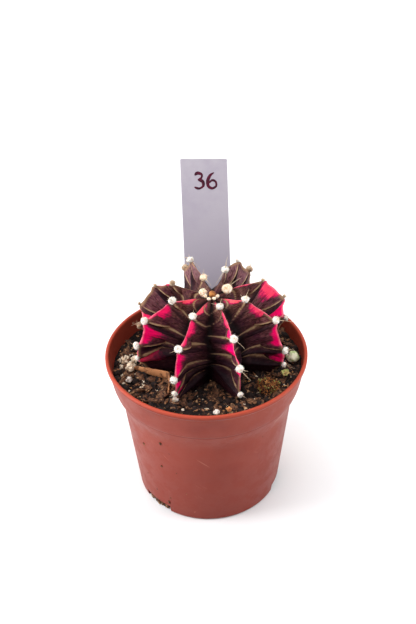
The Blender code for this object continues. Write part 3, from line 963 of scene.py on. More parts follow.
# %% The scatter tree
SCATTER_INPUTS = (
    ("Grain", "NodeSocketObject", None),
    ("Density", "NodeSocketFloat", 1.0),
    ("Smallest", "NodeSocketFloat", 0.5),
    ("Largest", "NodeSocketFloat", 1.0),
    ("Tip", "NodeSocketFloat", 3.14),
    ("Lift", "NodeSocketFloat", 0.0),
    ("Seed", "NodeSocketInt", 1),
    ("Finish", "NodeSocketMaterial", None),
)


def link(tree, wires):
    """Wires of a node and its output to another node and its input, by name or number."""
    for source, output, target, entry in wires:
        tree.links.new(source.outputs[output], target.inputs[entry])


def build_scatter():
    """Grains where a surface's attribute `open` is high, each turned about its own axis and tipped."""
    tree = bpy.data.node_groups.new("scatter_grains", "GeometryNodeTree")
    tree.interface.new_socket("Surface", in_out="INPUT", socket_type="NodeSocketGeometry")
    for label, kind, value in SCATTER_INPUTS:
        socket = tree.interface.new_socket(label, in_out="INPUT", socket_type=kind)
        if value is not None:
            socket.default_value = value
    tree.interface.new_socket("Grains", in_out="OUTPUT", socket_type="NodeSocketGeometry")
    new = tree.nodes.new
    source, sink = new("NodeGroupInput"), new("NodeGroupOutput")
    spread, room = new("GeometryNodeDistributePointsOnFaces"), new("GeometryNodeInputNamedAttribute")
    room.inputs["Name"].default_value = "open"
    thick = math_node(tree, "MULTIPLY", source.outputs["Density"], room.outputs["Attribute"])
    tree.links.new(thick, spread.inputs["Density"])
    align, tip = new("FunctionNodeAlignRotationToVector"), new("FunctionNodeRotateRotation")
    align.axis = "Z"
    tip.rotation_space = "LOCAL"
    turn = new("FunctionNodeEulerToRotation")
    swing, size = new("FunctionNodeRandomValue"), new("FunctionNodeRandomValue")
    swing.data_type = "FLOAT_VECTOR"
    low = math_node(tree, "MULTIPLY", source.outputs["Tip"], -1.0)
    bottom, top = new("ShaderNodeCombineXYZ"), new("ShaderNodeCombineXYZ")
    bottom.inputs["Z"].default_value = -math.pi
    top.inputs["Z"].default_value = math.pi
    for axis in ("X", "Y"):
        tree.links.new(low, bottom.inputs[axis])
        tree.links.new(source.outputs["Tip"], top.inputs[axis])
    grain, place = new("GeometryNodeObjectInfo"), new("GeometryNodeInstanceOnPoints")
    raised, rise = new("GeometryNodeSetPosition"), new("ShaderNodeVectorMath")
    rise.operation = "SCALE"
    real, paint = new("GeometryNodeRealizeInstances"), new("GeometryNodeSetMaterial")
    link(tree, [
        (source, "Surface", spread, "Mesh"), (source, "Seed", spread, "Seed"),
        (source, "Seed", swing, "Seed"), (source, "Seed", size, "Seed"),
        (source, "Smallest", size, 2), (source, "Largest", size, 3),
        (spread, "Normal", align, "Vector"), (align, "Rotation", tip, "Rotation"),
        (bottom, 0, swing, 0), (top, 0, swing, 1), (swing, 0, turn, 0), (turn, 0, tip, "Rotate By"),
        (spread, "Normal", rise, 0), (source, "Lift", rise, "Scale"),
        (spread, "Points", raised, "Geometry"), (rise, 0, raised, "Offset"),
        (source, "Grain", grain, "Object"), (raised, "Geometry", place, "Points"),
        (grain, "Geometry", place, "Instance"), (tip, "Rotation", place, "Rotation"),
        (size, 1, place, "Scale"), (place, 0, real, 0), (real, 0, paint, "Geometry"),
        (source, "Finish", paint, "Material"), (paint, 0, sink, "Grains"),
    ])
    return tree


SCATTER = build_scatter()
print("scatter nodes:", len(SCATTER.nodes))


# %% Scatter over a surface
def scattered(name, surface, **values):
    """The grains of one scatter over a surface object, as a plain mesh."""
    items = SCATTER.interface.items_tree
    sockets = {item.name: item.identifier for item in items if item.in_out == "INPUT"}
    obj = bpy.data.objects.new(name, surface.data.copy())
    bpy.context.collection.objects.link(obj)
    grow = obj.modifiers.new("scatter", "NODES")
    grow.node_group = SCATTER
    for label, value in values.items():
        grow[sockets[label]] = value
    made_plain(obj)
    obj.data.shade_smooth()
    return obj


print("scatter inputs:", [label for label, _, _ in SCATTER_INPUTS])

# %% [markdown]
# Grains and hairs are tiny meshes of a few dozen faces, because each is repeated thousands of times. A
# grain is a dented ball, stretched to a chip where wanted. A hair is a thin cone that bends and stands on
# its foot, and `tube` joins its rings, as it later does for pen strokes.

# %% Grains and hairs
def dented_ball(stretch, dent, seed, subdivisions=1):
    """A ball of unit half width, dented by noise and stretched."""
    mesh = bmesh.new()
    bmesh.ops.create_icosphere(mesh, subdivisions=subdivisions, radius=1.0)
    for vert in mesh.verts:
        vert.co *= 1 + dent * noise.noise(vert.co * 1.4 + Vector((seed, 0, 0)))
    bmesh.ops.scale(mesh, verts=mesh.verts, vec=stretch)
    return mesh


def tube(rings, tip=None):
    """A bmesh tube through rings of points, closed at its foot and by a tip or a flat end."""
    mesh = bmesh.new()
    rows = [[mesh.verts.new(point) for point in ring] for ring in rings]
    sides = range(len(rows[0]))
    after = [*sides[1:], 0]
    for low, high in zip(rows, rows[1:]):
        for i in sides:
            mesh.faces.new((low[i], low[after[i]], high[after[i]], high[i]))
    if tip:
        point = mesh.verts.new(tip)
        for i in sides:
            mesh.faces.new((rows[-1][i], rows[-1][after[i]], point))
    else:
        mesh.faces.new(rows[-1])
    mesh.faces.new(rows[0][::-1])
    return facing_out(mesh, merge=False)


def hair_mesh(length, foot, bend, joints=3, sides=3):
    """A bent cone along +Z that stands on the origin and closes in a point."""
    rings = []
    for k in range(joints):
        share = k / joints
        middle = Vector((bend * length * share ** 2, 0, length * share))
        radius = foot * (1 - 0.75 * share)
        rings.append([middle + Vector((radius * math.cos(turn), radius * math.sin(turn), 0))
                      for turn in (math.tau * i / sides for i in range(sides))])
    return tube(rings, (bend * length, 0, length))


sample = dented_ball((1, 1, 1), 0.3, 0.0)
print("one grain:", len(sample.faces), "faces")
sample.free()


# %% Join parts into one piece
def joined(name, parts, material=None):
    """Several bmeshes, each with its matrix, as one piece."""
    whole = bmesh.new()
    for mesh, matrix in parts:
        data = bpy.data.meshes.new("part")
        mesh.to_mesh(data)
        data.transform(matrix)
        whole.from_mesh(data)
        bpy.data.meshes.remove(data)
    return add_bmesh(name, whole, material)


def merge_pieces(name, pieces):
    """Piece objects made one, and the loose ones removed."""
    whole = bmesh.new()
    materials = []
    for piece in pieces:
        for material in piece.data.materials:
            if material not in materials:
                materials.append(material)
        start = len(whole.faces)
        whole.from_mesh(piece.data)
        whole.faces.ensure_lookup_table()
        own = list(piece.data.materials)
        for face in whole.faces[start:]:
            face.material_index = materials.index(own[min(face.material_index, len(own) - 1)])
        bpy.data.objects.remove(piece)
    obj = add_bmesh(name, whole)
    for material in materials:
        obj.data.materials.append(material)
    return obj


def set_open(obj, values=None):
    """Where grains may lie on a surface: everywhere, or as the values say point by point."""
    layer = obj.data.attributes.new("open", "FLOAT", "POINT")
    layer.data.foreach_set("value", values or [1.0] * len(obj.data.vertices))


HAIR_LENGTH, HAIR_RADIUS = 0.34 * MM, 0.032 * MM
hair = add_bmesh("wool_hair", hair_mesh(HAIR_LENGTH, HAIR_RADIUS, 0.45))
print("one hair:", len(hair.data.polygons), "faces")

# %% [markdown]
# ## Areoles
# The white tufts are areoles, the small cushions a cactus grows its spines from. Each is a flattened ball
# of felt with a shallow pit in the middle. Close to the crown they are young, smaller and cream. A bumpy
# ball alone would look like plaster, so hair is scattered over it by the tree above. One piece holds one
# rib's row of areoles.

# %% Wool finishes
def wool_finish(name, pale, deep, tips=srgb(246, 241, 234)):
    """Felt: a pale ground, deeper patches and bright hair tips, with a soft sheen."""
    finish = Finish(name, pale, 0.95, 0.2)
    finish.blotches(deep, 1100.0, 0.44, 0.64)
    finish.blotches(tips, 1900.0, 0.52, 0.66)
    finish.grain(5000.0, 0.8, 0.05 * MM, 0.5)
    finish.shader.inputs["Sheen Weight"].default_value = 0.3
    finish.shader.inputs["Subsurface Weight"].default_value = 0.15
    finish.shader.inputs["Subsurface Scale"].default_value = 0.4 * MM
    return finish.done()


white_wool = wool_finish("white_wool", srgb(226, 219, 210), srgb(172, 158, 142))
cream_wool = wool_finish("cream_wool", srgb(228, 206, 178), srgb(184, 148, 112))
tan_wool = wool_finish("tan_wool", srgb(176, 150, 122), srgb(118, 88, 66), srgb(206, 184, 158))
print("wools:", white_wool.name, cream_wool.name, tan_wool.name)

# %% Place and size of each areole
AREOLE_RADIUS = 1.0 * MM
AREOLE_FLATNESS = 0.82
AREOLE_SEAT = 0.55 * MM
AREOLE_PIT, PIT_REACH = 0.30, 0.34
FELT_DENT = 0.16
CREAM_BELOW_ANGLE = 12
# Sizes that differ from the common one, by rib and areole. The tan ones are old, at the back, and the
# tiny ones are young, in the crown.
SIZES = {("back_right", 1): 1.35, ("left_rear", 1): 1.1, ("front_right", 2): 0.95, ("left_rear", 2): 0.8,
         ("back_right", 2): 0.5, ("back_right", 3): 0.5, ("left_rear", 3): 0.45, ("left_rear", 4): 0.45,
         ("back", 2): 0.62}
TAN = {("left_rear", 2), ("left_rear", 3), ("left_rear", 4), ("back_right", 2), ("back_right", 3),
       ("back_left", 3), ("back_left", 4), ("back", 3), ("back", 4), ("left_rear", 5)}
TINY = {("left", 1), ("front_left", 1), ("front_right", 1), ("right", 1)}


def areole_size(rib, number, angle):
    """Half width as a share of AREOLE_RADIUS: the lowest ones are smaller."""
    if (rib, number) in TINY:
        return 0.5
    if (rib, number) in SIZES:
        return SIZES[rib, number]
    return 0.78 if angle > 88 else 1.0


def areole_place(rib, number, angle):
    """The middle of a tuft and its axes: across the crest, down it and outward."""
    here, out, along = crest_frame(rib, angle)
    if (rib, number) in TINY:
        here = Vector((here.x * 0.62, here.y * 0.62, here.z))
    size = areole_size(rib, number, angle)
    centre = here + out * (AREOLE_SEAT + 0.25 * AREOLE_RADIUS * (size - 0.8))
    turn = Matrix((along.cross(out), along, out)).transposed().to_4x4()
    return STEM_TURN @ Matrix.Translation(centre) @ turn, size


print("largest areole:", round(2 * AREOLE_RADIUS * max(SIZES.values()) / MM, 1), "mm across")


# %% Grow the areoles
def felt_ball(seed):
    """A lumpy flattened ball with a pit where the spines stand."""
    mesh = dented_ball((1, 1, 1), FELT_DENT, seed, 3)
    for vert in mesh.verts:
        pit = bell(vert.co.xy.length, PIT_REACH) * (vert.co.z > 0)
        vert.co *= AREOLE_RADIUS * (1 - AREOLE_PIT * pit)
        vert.co.z *= AREOLE_FLATNESS
    return mesh


def areole_wool(rib, number, angle):
    """Young tufts at the crown are cream and weathered ones at the back tan. The rest are white."""
    if (rib, number) in TAN:
        return tan_wool
    young = angle < CREAM_BELOW_ANGLE and (rib, number) != ("front_right", 2)
    return cream_wool if young else white_wool


def grow_areoles(rib):
    """One rib's row: lumpy balls in each wool, with hair on them."""
    pieces = []
    for wool in (white_wool, cream_wool, tan_wool):
        parts = []
        for number, angle in enumerate(RIBS[rib][2], 1):
            if areole_wool(rib, number, angle) != wool:
                continue
            turn, size = areole_place(rib, number, angle)
            parts.append((felt_ball(7.3 * number + RIBS[rib][0]), turn @ Matrix.Scale(size, 4)))
        if not parts:
            continue
        balls = joined("felt_balls", parts, wool)
        set_open(balls)
        hairs = scattered("felt_hairs", balls, Grain=hair, Density=1.5e7, Smallest=0.6, Largest=1.25,
                          Tip=0.9, Lift=-0.05 * MM, Seed=len(pieces) + 3, Finish=wool)
        pieces += [balls, hairs]
    piece = merge_pieces("areoles_" + rib, pieces)
    nodes = [f"areole_{rib}_{number}" for number in range(1, len(RIBS[rib][2]) + 1)]
    attach(piece, "areole_wool", *nodes)


for rib in RIBS:
    grow_areoles(rib)
bpy.data.objects.remove(hair)

# %% [markdown]
# ## Spines
# The spines are few, thin and a little curved, straw coloured with brown stretches. Every larger areole
# keeps one to three short ones, and some have a longer one that stands out. Each is a fine tapering tube
# and not a curve object, so that it exports as it looks. A small woody boss in the pit of the wool holds
# their feet.

# %% Spine finish and shape
straw = Finish("straw_spine", srgb(214, 190, 158), 0.5, 0.5)
straw.blotches(srgb(120, 78, 60), 260.0, 0.46, 0.62)
straw_spine = straw.done()

# Longer spines: rib, areole, direction and length in mm.
LONG_SPINES = (
    ("left_rear", 2, (-0.80, -0.05, 0.55), 5.2), ("back", 1, (0.06, -0.05, 1.0), 4.4),
    ("back_right", 2, (1.0, -0.1, 0.06), 5.4), ("back_right", 3, (0.75, -0.2, -0.6), 3.0),
    ("right", 3, (1.0, -0.1, -0.06), 6.4), ("front_right", 3, (0.75, -0.35, -0.5), 4.2),
    ("front_right", 4, (0.62, -0.45, -0.62), 4.2), ("left", 3, (-0.92, -0.2, -0.28), 3.6),
    ("front_left", 6, (0.05, -0.5, -0.8), 2.6), ("right", 5, (0.9, -0.1, -0.38), 4.4),
    ("back_right", 1, (0.6, -0.1, 0.75), 5.4), ("back", 1, (-0.42, -0.55, -0.5), 6.2),
    ("right", 2, (0.28, 0.2, 0.95), 3.2), ("back_left", 2, (0.62, -0.6, -0.3), 4.6),
    ("back_left", 1, (0.5, -0.6, -0.2), 3.6), ("left", 5, (-0.1, -0.3, -0.8), 2.4),
    ("left", 4, (-0.5, -0.3, 0.55), 2.2), ("back_left", 3, (-0.3, 0.85, 0.4), 4.5),
    ("back", 3, (0.2, 0.9, 0.3), 4.8), ("left_rear", 4, (-0.9, 0.25, 0.3), 4.0),
    ("back_left", 4, (-0.2, 0.9, -0.2), 3.6), ("left_rear", 3, (-0.85, 0.1, 0.4), 2.8),
)
SPINE_FOOT = 0.075 * MM
SPINE_BOSS = 0.28 * MM
SPINE_BOSS_HEIGHT = 0.5 * MM
SHORT_SPINE = (0.9 * MM, 1.9 * MM)
SHORT_COUNTS = (1, 2, 2, 3)
SHORT_LEAN = (0.5, 1.25)
SPINE_SEED = 31


def spine_part(place, direction, length, bend, turn_about):
    """A spine with its foot at a place, along a direction, bent to one side."""
    turn = direction.to_track_quat("Z", "X").to_matrix().to_4x4() @ Matrix.Rotation(turn_about, 4, "Z")
    return hair_mesh(length, SPINE_FOOT, bend, 7, 5), Matrix.Translation(place) @ turn


def grow_spines():
    """Short spines on every larger areole, drawn at random from one seed, then the long ones."""
    rng = random.Random(SPINE_SEED)
    parts = []
    for rib, (_, _, angles) in RIBS.items():
        for number, angle in enumerate(angles, 1):
            turn, size = areole_place(rib, number, angle)
            if size < 0.7:
                continue
            seat = turn @ Matrix.Translation((0, 0, SPINE_BOSS_HEIGHT * size))
            boss = dented_ball((1.0, 1.0, 0.7), 0.5, 2.0 * number, 2)
            parts.append((boss, seat @ Matrix.Scale(SPINE_BOSS * size, 4)))
            foot = turn @ Vector((0, 0, 0.35 * MM))
            for _ in range(rng.choice(SHORT_COUNTS)):
                lean = rng.uniform(*SHORT_LEAN)
                round_about = rng.uniform(0, math.tau)
                away = Vector((math.sin(lean) * math.cos(round_about),
                               math.sin(lean) * math.sin(round_about), math.cos(lean)))
                along = (turn.to_3x3() @ away).normalized()
                length = rng.uniform(*SHORT_SPINE) * size + 0.5 * MM
                bend = rng.uniform(0.1, 0.3)
                parts.append(spine_part(foot, along, length, bend, rng.uniform(0, math.tau)))
    for rib, number, direction, length in LONG_SPINES:
        turn, _ = areole_place(rib, number, RIBS[rib][2][number - 1])
        foot = turn @ Vector((0, 0, 0.2 * MM))
        along = Vector(direction).normalized()
        parts.append(spine_part(foot, along, length * MM, 0.12, rng.uniform(0, math.tau)))
    return joined("spines", parts, straw_spine)


spines = grow_spines()
attach(spines, "areole_wool")

# %% [markdown]
# ## Flower remnant
# A dried bud sits in the sunken crown: a small russet ball of folded scales. One bumpy ball would do from
# afar, but the scales catch the light, so they are laid over it in three turns. Each is a dented ball
# pinched into a leaf.

# %% Dried bud
dried = Finish("dried_bud", srgb(170, 108, 52), 0.75, 0.3)
dried.blotches(srgb(110, 62, 30), 1100.0, 0.45, 0.62)
dried.blotches(srgb(214, 164, 96), 1900.0, 0.56, 0.70)
dried.grain(3500.0, 0.6, 0.08 * MM, 0.6)
dried_bud = dried.done()
bud_low, bud_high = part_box("flower_remnant")
bud_middle = (bud_low + bud_high) / 2
BUD_RADIUS = (bud_high.x - bud_low.x) / 2
# Turns of scales from the foot up: how many, and how far they are tipped up.
BUD_TURNS = ((7, 0.35), (6, 0.75), (4, 1.15))


def grow_bud():
    """A core with three turns of scales."""
    seat = Matrix.Translation(bud_middle) @ Matrix.Scale(BUD_RADIUS, 4)
    parts = [(dented_ball((0.8, 0.8, 0.82), 0.2, 3.0, 3), seat)]
    for row, (count, tilt) in enumerate(BUD_TURNS):
        for k in range(count):
            round_about = math.tau * (k + 0.5 * row) / count
            turn = Matrix.Rotation(round_about, 4, "Z") @ Matrix.Rotation(-tilt, 4, "Y")
            scale = dented_ball((0.16, 0.36, 0.48), 0.3, k + 9.0 * row, 2)
            parts.append((scale, seat @ turn @ Matrix.Translation((0.72, 0, 0))))
    return joined("dried_bud", parts, dried_bud)


bud = grow_bud()
attach(bud, "dried_flower", "flower_remnant")

# %% [markdown]
# ## The soil
# The compost is peat with bark chips, a little pumice and sand. It could be one bumpy surface with a noisy
# colour, but at this size single crumbs are seen. So the bed is a closed body with an uneven top, and the
# top carries thousands of loose crumbs. The bed's surface follows the plain soil's: a bank at the wall
# and a slight fall to the back left.

# %% Soil bed
SOIL_BELOW_RIM = 5.7 * MM
SOIL_BANK = 1.9 * MM
SOIL_RISE_X = 0.030
SOIL_FALL_Y = 0.035
SOIL_BUMP = 0.25 * MM
WALL_GAP = 0.12 * MM
BED_COLUMNS = 180
BED_RINGS = 46
# The bed's roughness: how many bumps to a metre, roughly, and their height in mm.
BED_ROUGHNESS = ((380, 0.45), (900, 0.30), (2100, 0.16))


def soil_height(x, y):
    """The plain soil's height."""
    bumps = math.sin(310 * x + 1.0) * math.cos(270 * y) + 0.5 * math.sin(520 * (x + y))
    bank = SOIL_BANK * (math.hypot(x, y) / RIM_RADIUS) ** 4
    slope = SOIL_RISE_X * x - SOIL_FALL_Y * y
    return POT_HEIGHT - SOIL_BELOW_RIM + bank + slope + SOIL_BUMP * bumps


def bed_height(x, y):
    """The plain height roughened at three sizes of crumb."""
    place = Vector((x, y, 0.0))
    rough = sum(height * noise.noise(place * scale) for scale, height in BED_ROUGHNESS)
    return soil_height(x, y) + rough * MM


def soil_bed():
    """A side wall of three rings, then rings over the top to its middle."""
    low = POT_FLOOR + 0.3 * MM
    edge = pot_radius(POT_HEIGHT - SOIL_BELOW_RIM + SOIL_BANK) - WALL - WALL_GAP
    azimuths = [360 / BED_COLUMNS * k for k in range(BED_COLUMNS)]
    rings = []
    for z in (low, BODY_TOP[1], COLLAR_FOOT[1]):
        rings.append([toward(azimuth, pot_radius(z) - WALL - WALL_GAP, z) for azimuth in azimuths])
    for row in range(BED_RINGS):
        radius = edge * (1 - row / BED_RINGS)
        spots = [toward(azimuth, radius) for azimuth in azimuths]
        rings.append([Vector((p.x, p.y, bed_height(p.x, p.y))) for p in spots])
    points = [Vector((0, 0, low))] + [point for ring in rings for point in ring]
    points.append(Vector((0, 0, bed_height(0, 0))))
    return points, ring_faces(len(rings), BED_COLUMNS, True, True)


peat = Finish("damp_peat", srgb(26, 16, 14), 0.92, 0.2)
peat.blotches(srgb(8, 4, 4), 420.0, 0.44, 0.60)
peat.blotches(srgb(92, 60, 42), 1100.0, 0.56, 0.68)
peat.blotches(srgb(150, 112, 78), 1500.0, 0.62, 0.70)
peat.grain(2200.0, 0.8, 0.25 * MM, 0.8)
damp_peat = peat.done()

bed_points, bed_faces = soil_bed()
bed = add_piece("soil_bed", bed_points, bed_faces)
turn_out(bed)
bed.data.materials.append(damp_peat)
attach(bed, "peat_soil", "soil")

# %% [markdown]
# The crumbs lie on the bed's top only where nothing stands. Each point of the bed learns whether it is open
# ground by looking for the stem and the wall beside it. The same bed then gets peat crumbs, bark chips,
# pale grit, orange sand and root fibres, each with its own grain, size and colour.

# %% Open ground
stem_tree = BVHTree.FromPolygons(skin_points, skin_faces)
SOIL_TOP_DEPTH = 2.2 * MM
CLEAR_OF_WALL = 0.7 * MM
CLEAR_OF_STEM = 0.35 * MM


def is_open(point):
    """1 on open soil, 0 under the stem, at the wall or below the surface."""
    if point.z < POT_HEIGHT - SOIL_BELOW_RIM - SOIL_TOP_DEPTH:
        return 0.0
    if point.xy.length > pot_radius(point.z) - WALL - CLEAR_OF_WALL:
        return 0.0
    near, normal, _, distance = stem_tree.find_nearest(point)
    return 0.0 if distance < CLEAR_OF_STEM or (point - near).dot(normal) < 0 else 1.0


ground = add_piece("open_ground", bed_points, bed_faces)
set_open(ground, [is_open(point) for point in bed_points])
print("open ground:", sum(value.value for value in ground.data.attributes["open"].data), "points")


# %% Crumb finishes
def crumb_finish(name, base, dark, light, scale=1600.0):
    """Two mottled tones over a base, with a rough grain."""
    finish = Finish(name, base, 0.88, 0.3)
    finish.blotches(dark, scale, 0.44, 0.60)
    finish.blotches(light, scale * 0.6, 0.55, 0.66)
    finish.grain(3200.0, 0.7, 0.08 * MM, 0.6)
    return finish.done()


# For each kind: its finish, its stretch along three axes, how dented it is, how many lie on a square
# metre, and its smallest and largest half width in mm.
CRUMBS = {
    "peat_crumbs": (crumb_finish("peat_crumb", srgb(38, 22, 18), srgb(12, 6, 6), srgb(104, 68, 46)),
                    (1.0, 0.8, 0.62), 0.6, 2.4e6, 0.26, 0.72),
    "peat_clods": (crumb_finish("peat_clod", srgb(34, 20, 17), srgb(10, 5, 5), srgb(90, 58, 40)),
                   (1.0, 0.85, 0.62), 0.9, 2.4e5, 0.75, 1.45),
    "bark_chips": (crumb_finish("bark_chip", srgb(138, 94, 64), srgb(52, 29, 21), srgb(204, 164, 122)),
                   (1.5, 0.70, 0.40), 0.75, 3.8e5, 0.30, 0.85),
    "bark_pieces": (crumb_finish("bark_piece", srgb(104, 68, 47), srgb(40, 23, 18), srgb(182, 140, 100)),
                    (1.6, 0.75, 0.34), 0.9, 1.5e5, 0.85, 1.85),
    "sand_grains": (crumb_finish("orange_sand", srgb(196, 140, 88), srgb(142, 88, 50), srgb(226, 186, 138)),
                    (1.0, 0.85, 0.75), 0.3, 2.2e5, 0.20, 0.46),
    "pale_grit": (crumb_finish("pale_grit", srgb(224, 208, 186), srgb(176, 152, 124), srgb(242, 234, 220)),
                  (1.0, 0.86, 0.78), 0.6, 1.2e5, 0.22, 0.62),
}
print("kinds of crumb:", list(CRUMBS))

# %% Scatter the crumbs
for number, (name, kind) in enumerate(CRUMBS.items()):
    finish, stretch, dent, density, smallest, largest = kind
    grain = add_bmesh(name + "_grain", dented_ball(stretch, dent, 4.0 * number, 2 if number else 1))
    crumbs = scattered(name, ground, Grain=grain, Density=density, Smallest=smallest * MM,
                       Largest=largest * MM, Tip=0.7, Lift=0.12 * MM, Seed=21 + number, Finish=finish)
    bpy.data.objects.remove(grain)
    attach(crumbs, "peat_soil")

root_fibre = crumb_finish("root_fibre", srgb(150, 112, 76), srgb(92, 60, 40), srgb(196, 160, 120))
strand = add_bmesh("strand", hair_mesh(1.0, 0.022, 0.5, 6, 4))
fibres = scattered("root_fibres", ground, Grain=strand, Density=1.6e5, Smallest=1.4 * MM, Largest=3.2 * MM,
                   Tip=1.45, Lift=0.25 * MM, Seed=40, Finish=root_fibre)
bpy.data.objects.remove(strand)
attach(fibres, "peat_soil")

# %% [markdown]
# Compost never stays where it is put. A few crumbs cling to the outside of the wall at the front left, and
# more lie in the drain slot below. Moss has started near the wall, and pumice chips lie by the larger
# lumps. These few are placed one by one, since a scatter would not put them where they catch the eye.

# %% Stray crumbs, moss and chips
# On the wall: azimuth, height in mm and half width in mm.
WALL_CRUMBS = ((-49, 25.0, 0.36), (-32.5, 29.5, 0.42), (-34.7, 19.8, 0.36), (-52, 12.0, 0.18),
               (-23, 19.0, 0.16), (-33, 4.6, 0.45), (-31, 6.8, 0.22), (-44, 7.5, 0.16),
               (-17, 11.0, 0.13), (38, 30.0, 0.14))
# In the slot: azimuth, distance in from the wall's foot in mm and half width in mm.
SLOT_CRUMBS = ((-55, 0.6, 0.75), (-51, 0.9, 0.95), (-47, 0.5, 0.7), (-43, 1.0, 0.85), (-39, 0.7, 0.6),
               (-49, 2.2, 1.1), (-44, 2.6, 1.2), (-53, 2.4, 1.0), (-36, 1.4, 0.5), (-46, 0.35, 0.4))
# By the lumps: azimuth, distance from the axis in mm and half width in mm.
LOOSE_PUMICE = ((-98, 22.6, 0.85), (-92, 21.2, 0.7), (-88, 23.2, 0.75), (-103, 21.6, 0.6),
                (-95, 24.2, 0.55), (-84, 21.6, 0.45), (-79, 23.4, 0.5))
MOSS_SPOT = toward(-43, 19.8 * MM)
MOSS_REACH = 1.6 * MM
STRAY_DENT = 0.8
LOWEST = 0.02 * MM


def strays(places, stretch, material, name):
    """Lumps of the given middle, azimuth and half width, as one piece."""
    parts = []
    for number, (middle, azimuth, size) in enumerate(places):
        turn = Matrix.Rotation(math.radians(azimuth), 4, "Z") @ Matrix.Rotation(0.9 * number, 4, "Y")
        lump = dented_ball(stretch, STRAY_DENT, 3.1 * number, 3)
        lump.transform(Matrix.Translation(middle) @ turn @ Matrix.Scale(size * MM, 4))
        for vert in lump.verts:
            vert.co.z = max(vert.co.z, LOWEST)
        parts.append((lump, Matrix.Identity(4)))
    return joined(name, parts, material)


on_wall = [(toward(azimuth, pot_radius(z * MM) + 0.12 * size * MM, z * MM), azimuth, size)
           for azimuth, z, size in WALL_CRUMBS]
in_slot = [(toward(azimuth, BASE_RADIUS - inward * MM, 0.72 * size * MM), azimuth, size)
           for azimuth, inward, size in SLOT_CRUMBS]
stray_soil = strays(on_wall + in_slot, (1.1, 0.5, 0.8), CRUMBS["bark_pieces"][0], "stray_soil")
attach(stray_soil, "peat_soil")

chips = []
for azimuth, distance, size in LOOSE_PUMICE:
    spot = toward(azimuth, distance * MM)
    chips.append((Vector((spot.x, spot.y, soil_height(spot.x, spot.y) + 0.45 * size * MM)), azimuth, size))
attach(strays(chips, (1.0, 0.85, 0.8), CRUMBS["pale_grit"][0], "pumice_chips"), "pumice")

moss = crumb_finish("moss_bits", srgb(138, 144, 76), srgb(84, 88, 48), srgb(188, 188, 122))
near_moss = [bell((point.xy - MOSS_SPOT.xy).length, MOSS_REACH) for point in bed_points]
bare = [value.value for value in ground.data.attributes["open"].data]
ground.data.attributes["open"].data.foreach_set("value", [a * b for a, b in zip(near_moss, bare)])
leaflet = add_bmesh("leaflet", dented_ball((1.0, 0.6, 0.35), 0.5, 2.0, 2))
moss_patch = scattered("moss_patch", ground, Grain=leaflet, Density=9.0e6, Smallest=0.22 * MM,
                       Largest=0.55 * MM, Tip=1.2, Lift=0.8 * MM, Seed=61, Finish=moss)
bpy.data.objects.remove(leaflet)
attach(moss_patch, "leaf_litter")
bpy.data.objects.remove(ground)

# %% [markdown]
# ## Stones on the soil
# A few pumice lumps and pebbles lie on top. Pumice is pale, angular and pitted, and the pebbles are worn
# smooth. A displacement texture could shape them, but then their outline is hard to hold. Each is a fine
# ball pushed in by noise at two sizes, then filled out to the plain stone's own box.

# %% Stone shapes and finishes
def stone_points(mesh, seed, broad, pits):
    """Dents a unit ball: broad noise for its outline, small round pits for a rough skin."""
    for vert in mesh.verts:
        away = vert.co.normalized()
        shape = broad * noise.noise(away * 1.3 + Vector((seed, 0, 0)))
        holes = pits * min(0.0, noise.noise(away * 6.0 + Vector((0, seed, 0))) + 0.05)
        vert.co = away * (1 + shape + holes)


STONE_SINK = 0.35 * MM
KNOB_REACH = 0.42


def stone(name, node, finish, slot, seed, broad=0.5, pits=0.0, knobs=(), fill=1.04):
    """A stone in a node's box, sunk a little; knobs are directions and sizes, fill its share of the box."""
    low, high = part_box(node)
    middle, half = (low + high) / 2, (high - low) / 2
    mesh = bmesh.new()
    bmesh.ops.create_icosphere(mesh, subdivisions=5, radius=1.0)
    stone_points(mesh, seed, broad, pits)
    for direction, size in knobs:
        lump = Vector(direction).normalized()
        for vert in mesh.verts:
            vert.co += lump * size * bell((vert.co.normalized() - lump).length, KNOB_REACH)
    reach = [max(abs(vert.co[axis]) for vert in mesh.verts) for axis in range(3)]
    fit = [half[axis] / reach[axis] * fill for axis in range(3)]
    seat = Matrix.Translation(middle - Vector((0, 0, STONE_SINK)))
    mesh.transform(seat @ Matrix.Diagonal((*fit, 1.0)))
    attach(add_bmesh(name, mesh, finish), slot, node)


def stone_finish(name, base, patch, vein, pits=0.9):
    """Mottled stone with finer veins; pits is how deep its grain's cells are."""
    finish = Finish(name, base, 0.8, 0.35)
    finish.blotches(patch, 700.0, 0.46, 0.60)
    finish.blotches(vein, 1600.0, 0.58, 0.68)
    finish.grain(2600.0, pits, 0.1 * MM, 0.6)
    return finish.done()


pumice = stone_finish("cream_pumice", srgb(226, 208, 184), srgb(196, 164, 128), srgb(150, 110, 76))
pale_pebble = stone_finish("mossy_pebble", srgb(206, 204, 178), srgb(150, 168, 110),
                           srgb(230, 224, 206), 0.3)
white_pebble = stone_finish("white_pebble", srgb(216, 206, 196), srgb(168, 148, 134),
                            srgb(236, 230, 224), 0.4)
orange_pebble = stone_finish("orange_pebble", srgb(204, 138, 82), srgb(160, 92, 52),
                             srgb(224, 180, 130), 0.4)

for number in (1, 2, 3):
    stone(f"pumice_lump_{number}", f"pumice_left_{number}", pumice, "pumice",
          2.7 * number, 0.75, 0.35, fill=1.2)
stone("pebble_by_left_rib", "pebble_left", white_pebble, "pebble", 5.0, 0.6, 0.15)
stone("knobbed_pebble", "pebble_pale_round", pale_pebble, "pebble", 8.0, 0.25, 0.05,
      (((-0.25, 0.1, 1.0), 0.42), ((0.3, 0.3, 0.8), 0.2)), 1.22)
stone("front_white_pebble", "pebble_front_white", white_pebble, "pebble", 11.0, 0.5, 0.2)
stone("front_orange_pebble", "pebble_front_orange", orange_pebble, "pebble", 12.5, 0.5, 0.15)

